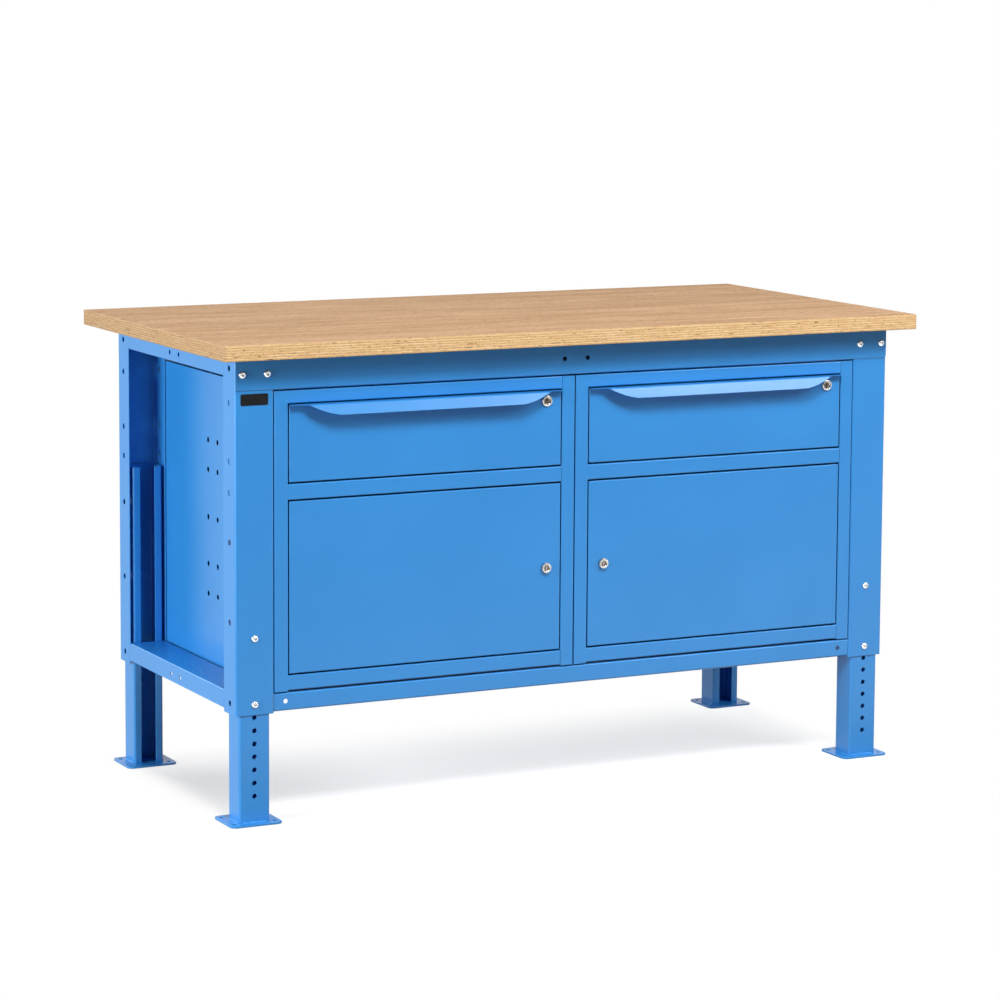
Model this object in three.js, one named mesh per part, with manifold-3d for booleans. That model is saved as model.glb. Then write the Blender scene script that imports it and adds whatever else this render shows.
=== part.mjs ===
// Workshop bench: a plywood top on a bolted steel frame with adjustable feet,
// and two sheet-steel cabinets hung in the frame, each with a drawer above a door.
// Millimetres, +Z up, +X to the right, +Y to the rear.
// The origin is on the floor, under the middle of the worktop.

import * as THREE from 'three';
import { mergeVertices } from 'three/addons/utils/BufferGeometryUtils.js';
import Module from 'manifold-3d';

// Worktop
const WORKTOP_LENGTH = 1500;
const WORKTOP_DEPTH = 750;
const WORKTOP_THICKNESS = 30;
const BENCH_HEIGHT = 910;
const END_OVERHANG = 39;
const FRONT_OVERHANG = 50;
const REAR_OVERHANG = 92;

// Clearances
const SEAT_GAP = 0.3;
const PIN_CLEARANCE = 0.3;
const RUNNER_PLAY = 0.6;
const REVEAL = 2;
const RAIL_REVEAL = 3;
const BAY_GAP = 1;

// Uprights: C channels, web outwards
const UPRIGHT_WIDTH = 78;
const UPRIGHT_DEPTH = 57;
const FRAME_SHEET = 2;
const FRAME_BEND = 2;
const UPRIGHT_LENGTH = 668.4;
const FLANGE_HOLE_DIAMETER = 10;
const FLANGE_HOLE_SETBACK = 28;
const FLANGE_HOLE_DROPS = [20, 84, 194, 253, 346, 497, 650];

// Feet: lipped channels on base plates
const FOOT_WIDTH = 62;
const FOOT_DEPTH = 54;
const FOOT_LIP = 15.5;
const FOOT_SHEET = 2.5;
const FOOT_TOP = 605;
const FOOT_HOLE_DIAMETER = 9.5;
const FOOT_FIRST_HOLE = 54;
const FOOT_HOLE_PITCH = 25;
const FOOT_HOLE_COUNT = 16;
const PLATE_WIDTH = 105;
const PLATE_DEPTH = 95;
const PLATE_THICKNESS = 4;
const PLATE_CORNER = 12;
const PLATE_SETBACK = 4.5;
const PLATE_HOLE_DIAMETER = 9;
const PLATE_HOLE_SPACING_X = 80;
const PLATE_HOLE_SPACING_Y = 62;

// Rails of the frame
const TOP_RAIL_HEIGHT = 60;
const TOP_RAIL_FLANGE = 45;
const TOP_RAIL_LOWER_FLANGE = 22;
const TOP_RAIL_END_INSET = 2;
const TOP_RAIL_CORNER = 6;
const CABLE_HOLE_SPACING = 50;
const RAIL_HOLE_DIAMETER = 9;
const LOWER_RAIL_HEIGHT = 36.5;
const LOWER_RAIL_FLANGE = 32;
const LOWER_RAIL_RECESS = 1.5;
const LOWER_RAIL_RISE = 2.5;
const LOWER_RAIL_HOLE_INSET = 24;
const TOP_END_RAIL_HEIGHT = 37;
const TOP_END_RAIL_FLANGE = 40;
const TOP_END_RAIL_LIP = 20;
const LOWER_END_RAIL_HEIGHT = 35;
const LOWER_END_RAIL_WIDTH = 75;
const LOWER_END_RAIL_RISE = 7;
const LOWER_END_HOLE_RISE = 14.5;
const END_HOLE_SPACING = 46;
const END_HOLE_DROP = 20;

// Bolts
const BOLT_DIAMETER = 8;
const BOLT_HOLE_DIAMETER = 9;
const BOLT_HEAD_DIAMETER = 14;
const BOLT_HEAD_HEIGHT = 4.2;
const BOLT_CROWN_DIAMETER = 7;
const BOLT_SHOULDER_DIAMETER = 12.2;
const BOLT_SHOULDER_HEIGHT = 2.5;
const RAIL_BOLT_SPACING = 50;
const RAIL_BOLT_DROP = 30;
const LEG_BOLT_EDGE = 20;
const LEG_BOLT_STEPS = 5;
const NUT_STRIP_WIDTH = 18;
const NUT_STRIP_THICKNESS = 5;
const NUT_STRIP_END = 10;

// Cabinets
const CABINET_SHEET = 1.2;
const CABINET_BEND = 1.3;
const CABINET_REAR_GAP = 15;
const CABINET_HEAD_GAP = 3.5;
const PLATE_BITE = 0.3;
const STILE_WIDTH = 28;
const STILE_RETURN = 14;
const RAIL_RETURN = 14;
const CABINET_TOP_RAIL = 24.8;
const CABINET_MIDDLE_RAIL = 30;
const CABINET_BOTTOM_RAIL = 30;
const DRAWER_OPENING_HEIGHT = 151;
const SIDE_HOLE_DIAMETER = 9;
const SIDE_HOLE_SPACING = 48;
const SIDE_HOLE_DROPS = [131, 189, 282, 374, 433];

// Drawers
const FRONT_PAN_DEPTH = 12;
const FRONT_CORNER = 2;
const FRONT_OUTLINE_CORNER = 0.5;
const LEDGE_REACH = 19;
const LEDGE_END_REACH = 12;
const GRIP_HEIGHT = 19.5;
const GRIP_SPLAY = 8;
const GRIP_TIP_INSET = 35;
const GRIP_TIP_SLOPE = 8;
const GRIP_LOWER_INSET = 112;
const GRIP_CURVE_INSET = 74;
const GRIP_BEND = 1.6;
const TRAY_LENGTH = 500;
const TRAY_HEIGHT = 100;
const TRAY_FLOOR_RISE = 12;

// Telescopic runners
const RUNNER_LENGTH = 490;
const RUNNER_HEIGHT = 46;
const RUNNER_SHEET = 1.2;
const RUNNER_SET = 12.5;
const RUNNER_START = 20;
const RUNNER_BRACKET_HEIGHT = 30;
const RUNNER_BRACKET_FOOT = 22;
const RUNNER_BRACKET_INSET = 40;

// Doors
const DOOR_PAN_DEPTH = 13;
const DOOR_PIVOT_INSET = 12;
const DOOR_PIVOT_SETBACK = 6.5;
const HINGE_PIN_DIAMETER = 6;
const HINGE_PIN_REACH = 7;

// Locks
const LOCK_EDGE_INSET = 32;
const DRAWER_LOCK_DROP = 19.5;
const LOCK_BARREL_DIAMETER = 16;
const LOCK_PLUG_DIAMETER = 11;
const LOCK_WALL_BEHIND = 13;
const DRAWER_LOCK_RING = 22;
const DRAWER_LOCK_PROUD = 4.5;
const DOOR_LOCK_RING = 21.5;
const DOOR_LOCK_PROUD = 7;
const LOCK_RING_CHAMFER = 1.5;
const KEYWAY_WIDTH = 2;
const KEYWAY_HEIGHT = 7;
const KEYWAY_DEPTH = 4;
const CAM_THICKNESS = 2;
const CAM_WIDTH = 12;
const CAM_BEHIND = 16;
const DRAWER_CAM_LENGTH = 32;
const DOOR_CAM_LENGTH = 42;

// Fineness of round faces, and a drill's length in sheet thicknesses
const BEND_STEPS = 2;
const CORNER_STEPS = 3;
const HOLE_SIDES = 8;
const LOCK_SIDES = 16;
const PIN_SIDES = 12;
const CURVE_STEPS = 6;
const DRILL_SHEETS = 4;

// Places worked out from the sizes above
const FRAME_TOP = BENCH_HEIGHT - WORKTOP_THICKNESS - SEAT_GAP;
const FRAME_END = WORKTOP_LENGTH / 2 - END_OVERHANG;
const FRAME_FRONT = -WORKTOP_DEPTH / 2 + FRONT_OVERHANG;
const FRAME_REAR = WORKTOP_DEPTH / 2 - REAR_OVERHANG;
const FRAME_MIDDLE_Y = (FRAME_FRONT + FRAME_REAR) / 2;
const UPRIGHT_X = FRAME_END - UPRIGHT_WIDTH / 2;
const UPRIGHT_TOP = FRAME_TOP - FRAME_SHEET - SEAT_GAP;
const UPRIGHT_BOTTOM = UPRIGHT_TOP - UPRIGHT_LENGTH;
const BAY_END = FRAME_END - UPRIGHT_WIDTH;
const LOWER_RAIL_BOTTOM = UPRIGHT_BOTTOM + LOWER_RAIL_RISE;
const LOWER_RAIL_TOP = LOWER_RAIL_BOTTOM + LOWER_RAIL_HEIGHT;
const CABINET_BOTTOM = LOWER_RAIL_TOP + SEAT_GAP;
const CABINET_TOP = FRAME_TOP - TOP_RAIL_HEIGHT - CABINET_HEAD_GAP;
const CABINET_REAR = FRAME_REAR - CABINET_REAR_GAP;
const CABINET_DEPTH = CABINET_REAR - FRAME_FRONT;
const CABINET_WIDTH = BAY_END - 2 * BAY_GAP;
const CABINET_X = BAY_END / 2;
const OPENING_WIDTH = CABINET_WIDTH - 2 * STILE_WIDTH;
const DRAWER_OPENING_TOP = CABINET_TOP - CABINET_TOP_RAIL;
const DRAWER_OPENING_BOTTOM = DRAWER_OPENING_TOP - DRAWER_OPENING_HEIGHT;
const DOOR_OPENING_TOP = DRAWER_OPENING_BOTTOM - CABINET_MIDDLE_RAIL;
const DOOR_OPENING_BOTTOM = CABINET_BOTTOM + CABINET_BOTTOM_RAIL;
const FRONT_WIDTH = OPENING_WIDTH - 2 * REVEAL;
const DRAWER_FRONT_BOTTOM = DRAWER_OPENING_BOTTOM + RAIL_REVEAL;
const DRAWER_FRONT_TOP = DRAWER_OPENING_TOP - REVEAL;
const DOOR_BOTTOM = DOOR_OPENING_BOTTOM + RAIL_REVEAL;
const DOOR_TOP = DOOR_OPENING_TOP - RAIL_REVEAL;
const DRAWER_LOCK_Z = DRAWER_FRONT_TOP - DRAWER_LOCK_DROP;
const DOOR_LOCK_Z = (DOOR_BOTTOM + DOOR_TOP) / 2;
const LOCK_BEHIND_CENTRE = FRONT_WIDTH / 2 - LOCK_EDGE_INSET;
const RAIL_BOLT_Z = FRAME_TOP - RAIL_BOLT_DROP;
const FOOT_FACE = FRAME_SHEET + SEAT_GAP;
const FIRST_LEG_BOLT = Math.ceil((UPRIGHT_BOTTOM + LEG_BOLT_EDGE - FOOT_FIRST_HOLE) / FOOT_HOLE_PITCH);
const LEG_BOLT_HOLES = [FIRST_LEG_BOLT, FIRST_LEG_BOLT + LEG_BOLT_STEPS];
const LEG_BOLT_HEIGHTS = LEG_BOLT_HOLES.map((hole) => FOOT_FIRST_HOLE + hole * FOOT_HOLE_PITCH);
const RUNNER_WALL = OPENING_WIDTH / 2 - SEAT_GAP;
const TRAY_HALF_WIDTH = RUNNER_WALL - RUNNER_SET;
const TRAY_FRONT = FRAME_FRONT + CABINET_SHEET + SEAT_GAP;
const TRAY_BOTTOM = DRAWER_FRONT_BOTTOM + TRAY_FLOOR_RISE;
const RUNNER_Z = TRAY_BOTTOM + TRAY_HEIGHT / 2;
const RUNNER_Y = FRAME_FRONT + RUNNER_START;

const wasm = await Module();
wasm.setup();

// Finishes
const blueCoat = { color: 0x3f8fdb, roughness: 0.42, metalness: 0.1 };
const plywood = { color: 0xc9a27a, roughness: 0.6, metalness: 0 };
const zinc = { color: 0xc7cbd0, roughness: 0.35, metalness: 0.9 };
const nickel = { color: 0xd9dadb, roughness: 0.2, metalness: 1 };

// A closed three.js geometry as a solid that can be cut and joined.
function solid(geometry) {
  const bare = geometry.index ? geometry.toNonIndexed() : geometry.clone();
  bare.deleteAttribute('normal');
  bare.deleteAttribute('uv');
  const merged = mergeVertices(bare);
  const corners = merged.index.array;
  const triangles = [];
  for (let i = 0; i < corners.length; i += 3) {
    const [a, b, c] = corners.slice(i, i + 3);
    if (a !== b && b !== c && c !== a) {
      triangles.push(a, b, c);
    }
  }
  const mesh = new wasm.Mesh({
    numProp: 3,
    vertProperties: new Float32Array(merged.attributes.position.array),
    triVerts: new Uint32Array(triangles),
  });
  return new wasm.Manifold(mesh);
}

function join(pieces) {
  return pieces.reduce((whole, piece) => whole.add(piece));
}

function cut(body, cutters) {
  return cutters.reduce((rest, cutter) => rest.subtract(cutter), body);
}

// Section axes: where a section's first and second directions and its length point.
const ALONG_X = new THREE.Matrix4().makeBasis(
  new THREE.Vector3(0, 1, 0), new THREE.Vector3(0, 0, 1), new THREE.Vector3(1, 0, 0));
const ALONG_Y = new THREE.Matrix4().makeBasis(
  new THREE.Vector3(0, 0, 1), new THREE.Vector3(1, 0, 0), new THREE.Vector3(0, 1, 0));
const ALONG_Z = new THREE.Matrix4();

function outlineShape(points) {
  return new THREE.Shape(points.map(([a, b]) => new THREE.Vector2(a, b)));
}

// A section outline drawn out from one place to another along an axis.
function prism(points, axis, from, to) {
  const settings = { depth: to - from, bevelEnabled: false };
  const geometry = new THREE.ExtrudeGeometry(outlineShape(points), settings);
  geometry.translate(0, 0, from);
  geometry.applyMatrix4(axis);
  return solid(geometry);
}

function block(x0, x1, y0, y1, z0, z1) {
  const geometry = new THREE.BoxGeometry(x1 - x0, y1 - y0, z1 - z0);
  geometry.translate((x0 + x1) / 2, (y0 + y1) / 2, (z0 + z1) / 2);
  return solid(geometry);
}

// A round bar along an axis, centred at a point; also used as a drill.
function rod(axis, centre, diameter, length, sides) {
  const geometry = new THREE.CylinderGeometry(diameter / 2, diameter / 2, length, sides);
  geometry.rotateY(Math.PI / sides);
  if (axis === 'x') {
    geometry.rotateZ(Math.PI / 2);
  }
  if (axis === 'z') {
    geometry.rotateX(Math.PI / 2);
  }
  geometry.translate(centre[0], centre[1], centre[2]);
  return solid(geometry);
}

// A turned piece about a line along Y. Points are radius and place along Y.
function turned(points, x, z, sides) {
  const profile = points.map(([radius, along]) => new THREE.Vector2(radius, along));
  const geometry = new THREE.LatheGeometry(profile, sides);
  geometry.rotateY(Math.PI / sides);
  geometry.translate(x, 0, z);
  return solid(geometry);
}

// The outline of a folded sheet. The path follows one face of the sheet,
// the sheet lies to its left, and every corner is a bend with the given inner radius.
function foldedSheet(path, thickness, innerRadius) {
  const near = [path[0]];
  const far = [];
  const side = (from, to) => {
    const length = Math.hypot(to[0] - from[0], to[1] - from[1]);
    return [(to[0] - from[0]) / length, (to[1] - from[1]) / length];
  };
  const leftOf = (point, [dx, dy], distance) => [point[0] - dy * distance, point[1] + dx * distance];
  far.push(leftOf(path[0], side(path[0], path[1]), thickness));
  for (let i = 1; i < path.length - 1; i += 1) {
    const before = side(path[i - 1], path[i]);
    const after = side(path[i], path[i + 1]);
    const turn = Math.atan2(
      before[0] * after[1] - before[1] * after[0],
      before[0] * after[0] + before[1] * after[1],
    );
    const nearRadius = turn > 0 ? innerRadius + thickness : innerRadius;
    const farRadius = turn > 0 ? innerRadius : innerRadius + thickness;
    const run = nearRadius * Math.tan(Math.abs(turn) / 2);
    const start = [path[i][0] - before[0] * run, path[i][1] - before[1] * run];
    const centre = leftOf(start, before, Math.sign(turn) * nearRadius);
    const startAngle = Math.atan2(start[1] - centre[1], start[0] - centre[0]);
    for (let step = 0; step <= BEND_STEPS; step += 1) {
      const angle = startAngle + (turn * step) / BEND_STEPS;
      near.push([centre[0] + nearRadius * Math.cos(angle), centre[1] + nearRadius * Math.sin(angle)]);
      far.push([centre[0] + farRadius * Math.cos(angle), centre[1] + farRadius * Math.sin(angle)]);
    }
  }
  const last = path[path.length - 1];
  near.push(last);
  far.push(leftOf(last, side(path[path.length - 2], last), thickness));
  return near.concat(far.reverse());
}

function roundedRectangle(a0, a1, b0, b1, radius) {
  const points = [];
  const corners = [[a1 - radius, b1 - radius], [a0 + radius, b1 - radius],
    [a0 + radius, b0 + radius], [a1 - radius, b0 + radius]];
  corners.forEach(([a, b], quarter) => {
    for (let step = 0; step <= CORNER_STEPS; step += 1) {
      const angle = ((quarter + step / CORNER_STEPS) * Math.PI) / 2;
      points.push([a + radius * Math.cos(angle), b + radius * Math.sin(angle)]);
    }
  });
  return points;
}

// A shallow pan folded from one sheet, open to the rear, with rounded front edges.
function pan(x0, x1, z0, z1, front, depth, thickness, corner) {
  const shell = (inset) => {
    const size = corner - inset;
    const outline = roundedRectangle(x0 + corner, x1 - corner, z0 + corner, z1 - corner,
      FRONT_OUTLINE_CORNER);
    const geometry = new THREE.ExtrudeGeometry(outlineShape(outline), {
      depth,
      bevelThickness: size,
      bevelSize: size,
      bevelSegments: BEND_STEPS,
    });
    geometry.rotateX(Math.PI / 2);
    geometry.translate(0, front + corner + depth, 0);
    return solid(geometry);
  };
  const outside = shell(0);
  const inside = shell(thickness);
  const behind = block(x0 - corner, x1 + corner,
    front + depth, front + 2 * (depth + corner), z0 - corner, z1 + corner);
  return outside.subtract(inside).subtract(behind);
}

const bench = new THREE.Group();

function addPart(name, body, finish) {
  const { numProp, vertProperties, triVerts } = body.getMesh();
  const geometry = new THREE.BufferGeometry();
  const positions = new Float32Array((vertProperties.length / numProp) * 3);
  for (let i = 0; i < vertProperties.length / numProp; i += 1) {
    positions.set(vertProperties.subarray(i * numProp, i * numProp + 3), i * 3);
  }
  geometry.setAttribute('position', new THREE.BufferAttribute(positions, 3));
  geometry.setIndex(Array.from(triVerts));
  geometry.computeVertexNormals();
  const mesh = new THREE.Mesh(geometry, new THREE.MeshStandardMaterial(finish));
  mesh.name = name;
  bench.add(mesh);
}

// The frame is alike left and right, and its uprights, feet, rails and bolts alike front and rear.
const SIDES = [['left', -1], ['right', 1]];
const FACES = [['front', FRAME_FRONT, 1], ['rear', FRAME_REAR, -1]];

// Maps a section drawn as (across, inwards) to plan coordinates at one corner of the frame.
function atCorner(points, x, face, inward) {
  return points.map(([across, depth]) => [x + across, face + inward * depth]);
}

function worktop() {
  return block(-WORKTOP_LENGTH / 2, WORKTOP_LENGTH / 2, -WORKTOP_DEPTH / 2, WORKTOP_DEPTH / 2,
    BENCH_HEIGHT - WORKTOP_THICKNESS, BENCH_HEIGHT);
}

function upright(x, face, inward) {
  const half = UPRIGHT_WIDTH / 2;
  const path = [[-half, UPRIGHT_DEPTH], [-half, 0], [half, 0], [half, UPRIGHT_DEPTH]];
  const section = atCorner(foldedSheet(path, FRAME_SHEET, FRAME_BEND), x, face, inward);
  const channel = prism(section, ALONG_Z, UPRIGHT_BOTTOM, UPRIGHT_TOP);
  const flangeY = face + inward * FLANGE_HOLE_SETBACK;
  const drills = FLANGE_HOLE_DROPS.map((drop) => rod('x', [x, flangeY, FRAME_TOP - drop],
    FLANGE_HOLE_DIAMETER, 2 * UPRIGHT_WIDTH, HOLE_SIDES));
  for (const z of LEG_BOLT_HEIGHTS) {
    drills.push(rod('y', [x, face, z], BOLT_HOLE_DIAMETER, UPRIGHT_DEPTH, HOLE_SIDES));
  }
  for (const sign of [-1, 1]) {
    const boltX = x + (sign * RAIL_BOLT_SPACING) / 2;
    const place = [boltX, face, RAIL_BOLT_Z];
    drills.push(rod('y', place, BOLT_HOLE_DIAMETER, UPRIGHT_DEPTH, HOLE_SIDES));
  }
  return cut(channel, drills);
}

function foot(x, face, inward) {
  const half = FOOT_WIDTH / 2;
  const path = [[-half + FOOT_LIP, FOOT_DEPTH], [-half, FOOT_DEPTH], [-half, 0],
    [half, 0], [half, FOOT_DEPTH], [half - FOOT_LIP, FOOT_DEPTH]];
  const footFace = face + inward * FOOT_FACE;
  const section = atCorner(foldedSheet(path, FOOT_SHEET, FRAME_BEND), x, footFace, inward);
  const channel = prism(section, ALONG_Z, PLATE_THICKNESS / 2, FOOT_TOP);
  const drills = [];
  for (let hole = 0; hole < FOOT_HOLE_COUNT; hole += 1) {
    const z = FOOT_FIRST_HOLE + hole * FOOT_HOLE_PITCH;
    drills.push(rod('y', [x, footFace, z], FOOT_HOLE_DIAMETER, FOOT_DEPTH, HOLE_SIDES));
  }
  const plateY = footFace + inward * (FOOT_DEPTH / 2 + PLATE_SETBACK);
  const outline = roundedRectangle(x - PLATE_WIDTH / 2, x + PLATE_WIDTH / 2,
    plateY - PLATE_DEPTH / 2, plateY + PLATE_DEPTH / 2, PLATE_CORNER);
  const floorDrills = [];
  for (const signX of [-1, 1]) {
    for (const signY of [-1, 1]) {
      const place = [
        x + (signX * PLATE_HOLE_SPACING_X) / 2,
        plateY + (signY * PLATE_HOLE_SPACING_Y) / 2,
        0,
      ];
      floorDrills.push(rod('z', place, PLATE_HOLE_DIAMETER, DRILL_SHEETS * PLATE_THICKNESS, HOLE_SIDES));
    }
  }
  const plate = cut(prism(outline, ALONG_Z, 0, PLATE_THICKNESS), floorDrills);
  return cut(channel, drills).add(plate);
}

// Sections of the end rails are drawn as (inwards, upwards) from the outer face.
function endRail(side, path, bottom, holeZ) {
  const outer = side * FRAME_END;
  const section = foldedSheet(path, FRAME_SHEET, FRAME_BEND)
    .map(([inwards, up]) => [bottom + up, outer - side * inwards]);
  const rail = prism(section, ALONG_Y,
    FRAME_FRONT + UPRIGHT_DEPTH + SEAT_GAP, FRAME_REAR - UPRIGHT_DEPTH - SEAT_GAP);
  const drills = [-1, 1].map((sign) => {
    const place = [outer, FRAME_MIDDLE_Y + (sign * END_HOLE_SPACING) / 2, holeZ];
    return rod('x', place, RAIL_HOLE_DIAMETER, DRILL_SHEETS * FRAME_SHEET, HOLE_SIDES);
  });
  return cut(rail, drills);
}

function topEndRail(side) {
  const path = [[TOP_END_RAIL_FLANGE, TOP_END_RAIL_HEIGHT], [0, TOP_END_RAIL_HEIGHT],
    [0, 0], [TOP_END_RAIL_LIP, 0]];
  return endRail(side, path, FRAME_TOP - TOP_END_RAIL_HEIGHT, FRAME_TOP - END_HOLE_DROP);
}

function lowerEndRail(side) {
  const path = [[LOWER_END_RAIL_WIDTH, 0], [LOWER_END_RAIL_WIDTH, LOWER_END_RAIL_HEIGHT],
    [0, LOWER_END_RAIL_HEIGHT], [0, 0]];
  const bottom = UPRIGHT_BOTTOM + LOWER_END_RAIL_RISE;
  return endRail(side, path, bottom, bottom + LOWER_END_HOLE_RISE);
}

// The top rail laps over the upright webs, so its lower flange stops between the uprights.
function topRail(face, inward) {
  const outer = face - inward * (FRAME_SHEET + SEAT_GAP);
  const path = [[TOP_RAIL_FLANGE, TOP_RAIL_HEIGHT], [0, TOP_RAIL_HEIGHT],
    [0, 0], [TOP_RAIL_LOWER_FLANGE, 0]];
  const bottom = FRAME_TOP - TOP_RAIL_HEIGHT;
  const section = foldedSheet(path, FRAME_SHEET, FRAME_BEND)
    .map(([depth, up]) => [outer + inward * depth, bottom + up]);
  const end = FRAME_END - TOP_RAIL_END_INSET;
  const whole = prism(section, ALONG_X, -end, end);
  const reach = 2 * UPRIGHT_DEPTH;
  const outline = roundedRectangle(bottom, FRAME_TOP + TOP_RAIL_HEIGHT, -end, end, TOP_RAIL_CORNER);
  const rounded = whole.intersect(prism(outline, ALONG_Y, face - reach, face + reach));
  const drillLength = DRILL_SHEETS * FRAME_SHEET;
  const drills = [];
  for (const [, side] of SIDES) {
    const inside = BAY_END - SEAT_GAP;
    const x0 = Math.min(side * inside, side * FRAME_END);
    const x1 = Math.max(side * inside, side * FRAME_END);
    const y0 = Math.min(face - inward * SEAT_GAP, face + inward * UPRIGHT_DEPTH);
    const y1 = Math.max(face - inward * SEAT_GAP, face + inward * UPRIGHT_DEPTH);
    drills.push(block(x0, x1, y0, y1, bottom - FRAME_SHEET, UPRIGHT_TOP + SEAT_GAP));
    drills.push(rod('y', [(side * CABLE_HOLE_SPACING) / 2, outer, RAIL_BOLT_Z],
      RAIL_HOLE_DIAMETER, drillLength, HOLE_SIDES));
    for (const sign of [-1, 1]) {
      const boltX = side * UPRIGHT_X + (sign * RAIL_BOLT_SPACING) / 2;
      drills.push(rod('y', [boltX, outer, RAIL_BOLT_Z], BOLT_HOLE_DIAMETER, drillLength, HOLE_SIDES));
    }
  }
  return cut(rounded, drills);
}

// The lower rail carries the cabinets on its top flange.
function lowerRail(face, inward) {
  const outer = face + inward * LOWER_RAIL_RECESS;
  const path = [[LOWER_RAIL_FLANGE, LOWER_RAIL_HEIGHT], [0, LOWER_RAIL_HEIGHT],
    [0, 0], [LOWER_RAIL_FLANGE, 0]];
  const section = foldedSheet(path, FRAME_SHEET, FRAME_BEND)
    .map(([depth, up]) => [outer + inward * depth, LOWER_RAIL_BOTTOM + up]);
  const end = BAY_END - SEAT_GAP;
  const drills = SIDES.map(([, side]) => rod('y',
    [side * (BAY_END - LOWER_RAIL_HOLE_INSET), outer, LOWER_RAIL_BOTTOM + LOWER_RAIL_HEIGHT / 2],
    RAIL_HOLE_DIAMETER, DRILL_SHEETS * FRAME_SHEET, HOLE_SIDES));
  return cut(prism(section, ALONG_X, -end, end), drills);
}

// A button-head bolt along Y, its head seated on a face and its shank reaching inwards.
function bolt(x, z, seat, inward, reach) {
  const profile = [[0, -BOLT_HEAD_HEIGHT], [BOLT_CROWN_DIAMETER, -BOLT_HEAD_HEIGHT],
    [BOLT_SHOULDER_DIAMETER, -BOLT_SHOULDER_HEIGHT], [BOLT_HEAD_DIAMETER, 0],
    [BOLT_DIAMETER, 0], [BOLT_DIAMETER, reach], [0, reach]];
  const points = profile.map(([diameter, depth]) => [diameter / 2, seat + inward * depth]);
  return turned(inward > 0 ? points : points.reverse(), x, z, HOLE_SIDES);
}

// Two bolts screwed into one nut strip behind the sheets that they clamp.
function boltPair(places, face, inward, outerStack, innerStack) {
  const seat = face - inward * (outerStack + SEAT_GAP);
  const stripFace = face + inward * (innerStack + SEAT_GAP);
  const stripEnd = stripFace + inward * NUT_STRIP_THICKNESS;
  const reach = Math.abs(stripEnd - seat) - SEAT_GAP;
  const xs = places.map(([x]) => x);
  const zs = places.map(([, z]) => z);
  const upwards = Math.max(...zs) > Math.min(...zs);
  const marginX = upwards ? NUT_STRIP_WIDTH / 2 : NUT_STRIP_END;
  const marginZ = upwards ? NUT_STRIP_END : NUT_STRIP_WIDTH / 2;
  const strip = block(Math.min(...xs) - marginX, Math.max(...xs) + marginX,
    Math.min(stripFace, stripEnd), Math.max(stripFace, stripEnd),
    Math.min(...zs) - marginZ, Math.max(...zs) + marginZ);
  return join([strip, ...places.map(([x, z]) => bolt(x, z, seat, inward, reach))]);
}

// Cabinets. Plan sections are drawn from the cabinet's middle and front face.
function cabinetShell(centre, outward) {
  const half = CABINET_WIDTH / 2;
  const stile = half - STILE_WIDTH;
  const path = [[stile, STILE_RETURN], [stile, 0], [half, 0], [half, CABINET_DEPTH],
    [-half, CABINET_DEPTH], [-half, 0], [-stile, 0], [-stile, STILE_RETURN]];
  const section = foldedSheet(path, CABINET_SHEET, CABINET_BEND)
    .map(([across, depth]) => [centre + across, FRAME_FRONT + depth]);
  const walls = prism(section, ALONG_Z, CABINET_BOTTOM, CABINET_TOP);
  const lap = CABINET_SHEET - PLATE_BITE;
  const plate = (z) => block(centre - half + lap, centre + half - lap,
    FRAME_FRONT + RAIL_RETURN + SEAT_GAP, CABINET_REAR - lap, z, z + CABINET_SHEET);
  const drills = [];
  for (const drop of SIDE_HOLE_DROPS) {
    for (const sign of [-1, 1]) {
      const y = FRAME_MIDDLE_Y + (sign * SIDE_HOLE_SPACING) / 2;
      const place = [centre + outward * half, y, CABINET_TOP - drop];
      drills.push(rod('x', place, SIDE_HOLE_DIAMETER, DRILL_SHEETS * CABINET_SHEET, HOLE_SIDES));
    }
  }
  const floor = plate(CABINET_BOTTOM + CABINET_SHEET);
  const roof = plate(CABINET_TOP - 2 * CABINET_SHEET);
  return cut(join([walls, floor, roof]), drills);
}

function cabinetRail(centre, bottom, height, pivots) {
  const path = [[RAIL_RETURN, height], [0, height], [0, 0], [RAIL_RETURN, 0]];
  const section = foldedSheet(path, CABINET_SHEET, CABINET_BEND)
    .map(([depth, up]) => [FRAME_FRONT + depth, bottom + up]);
  const end = OPENING_WIDTH / 2 - SEAT_GAP;
  const drills = pivots.map(([x, y, z]) => rod('z', [x, y, z],
    HINGE_PIN_DIAMETER + 2 * PIN_CLEARANCE, DRILL_SHEETS * CABINET_SHEET, PIN_SIDES));
  return cut(prism(section, ALONG_X, centre - end, centre + end), drills);
}

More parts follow.
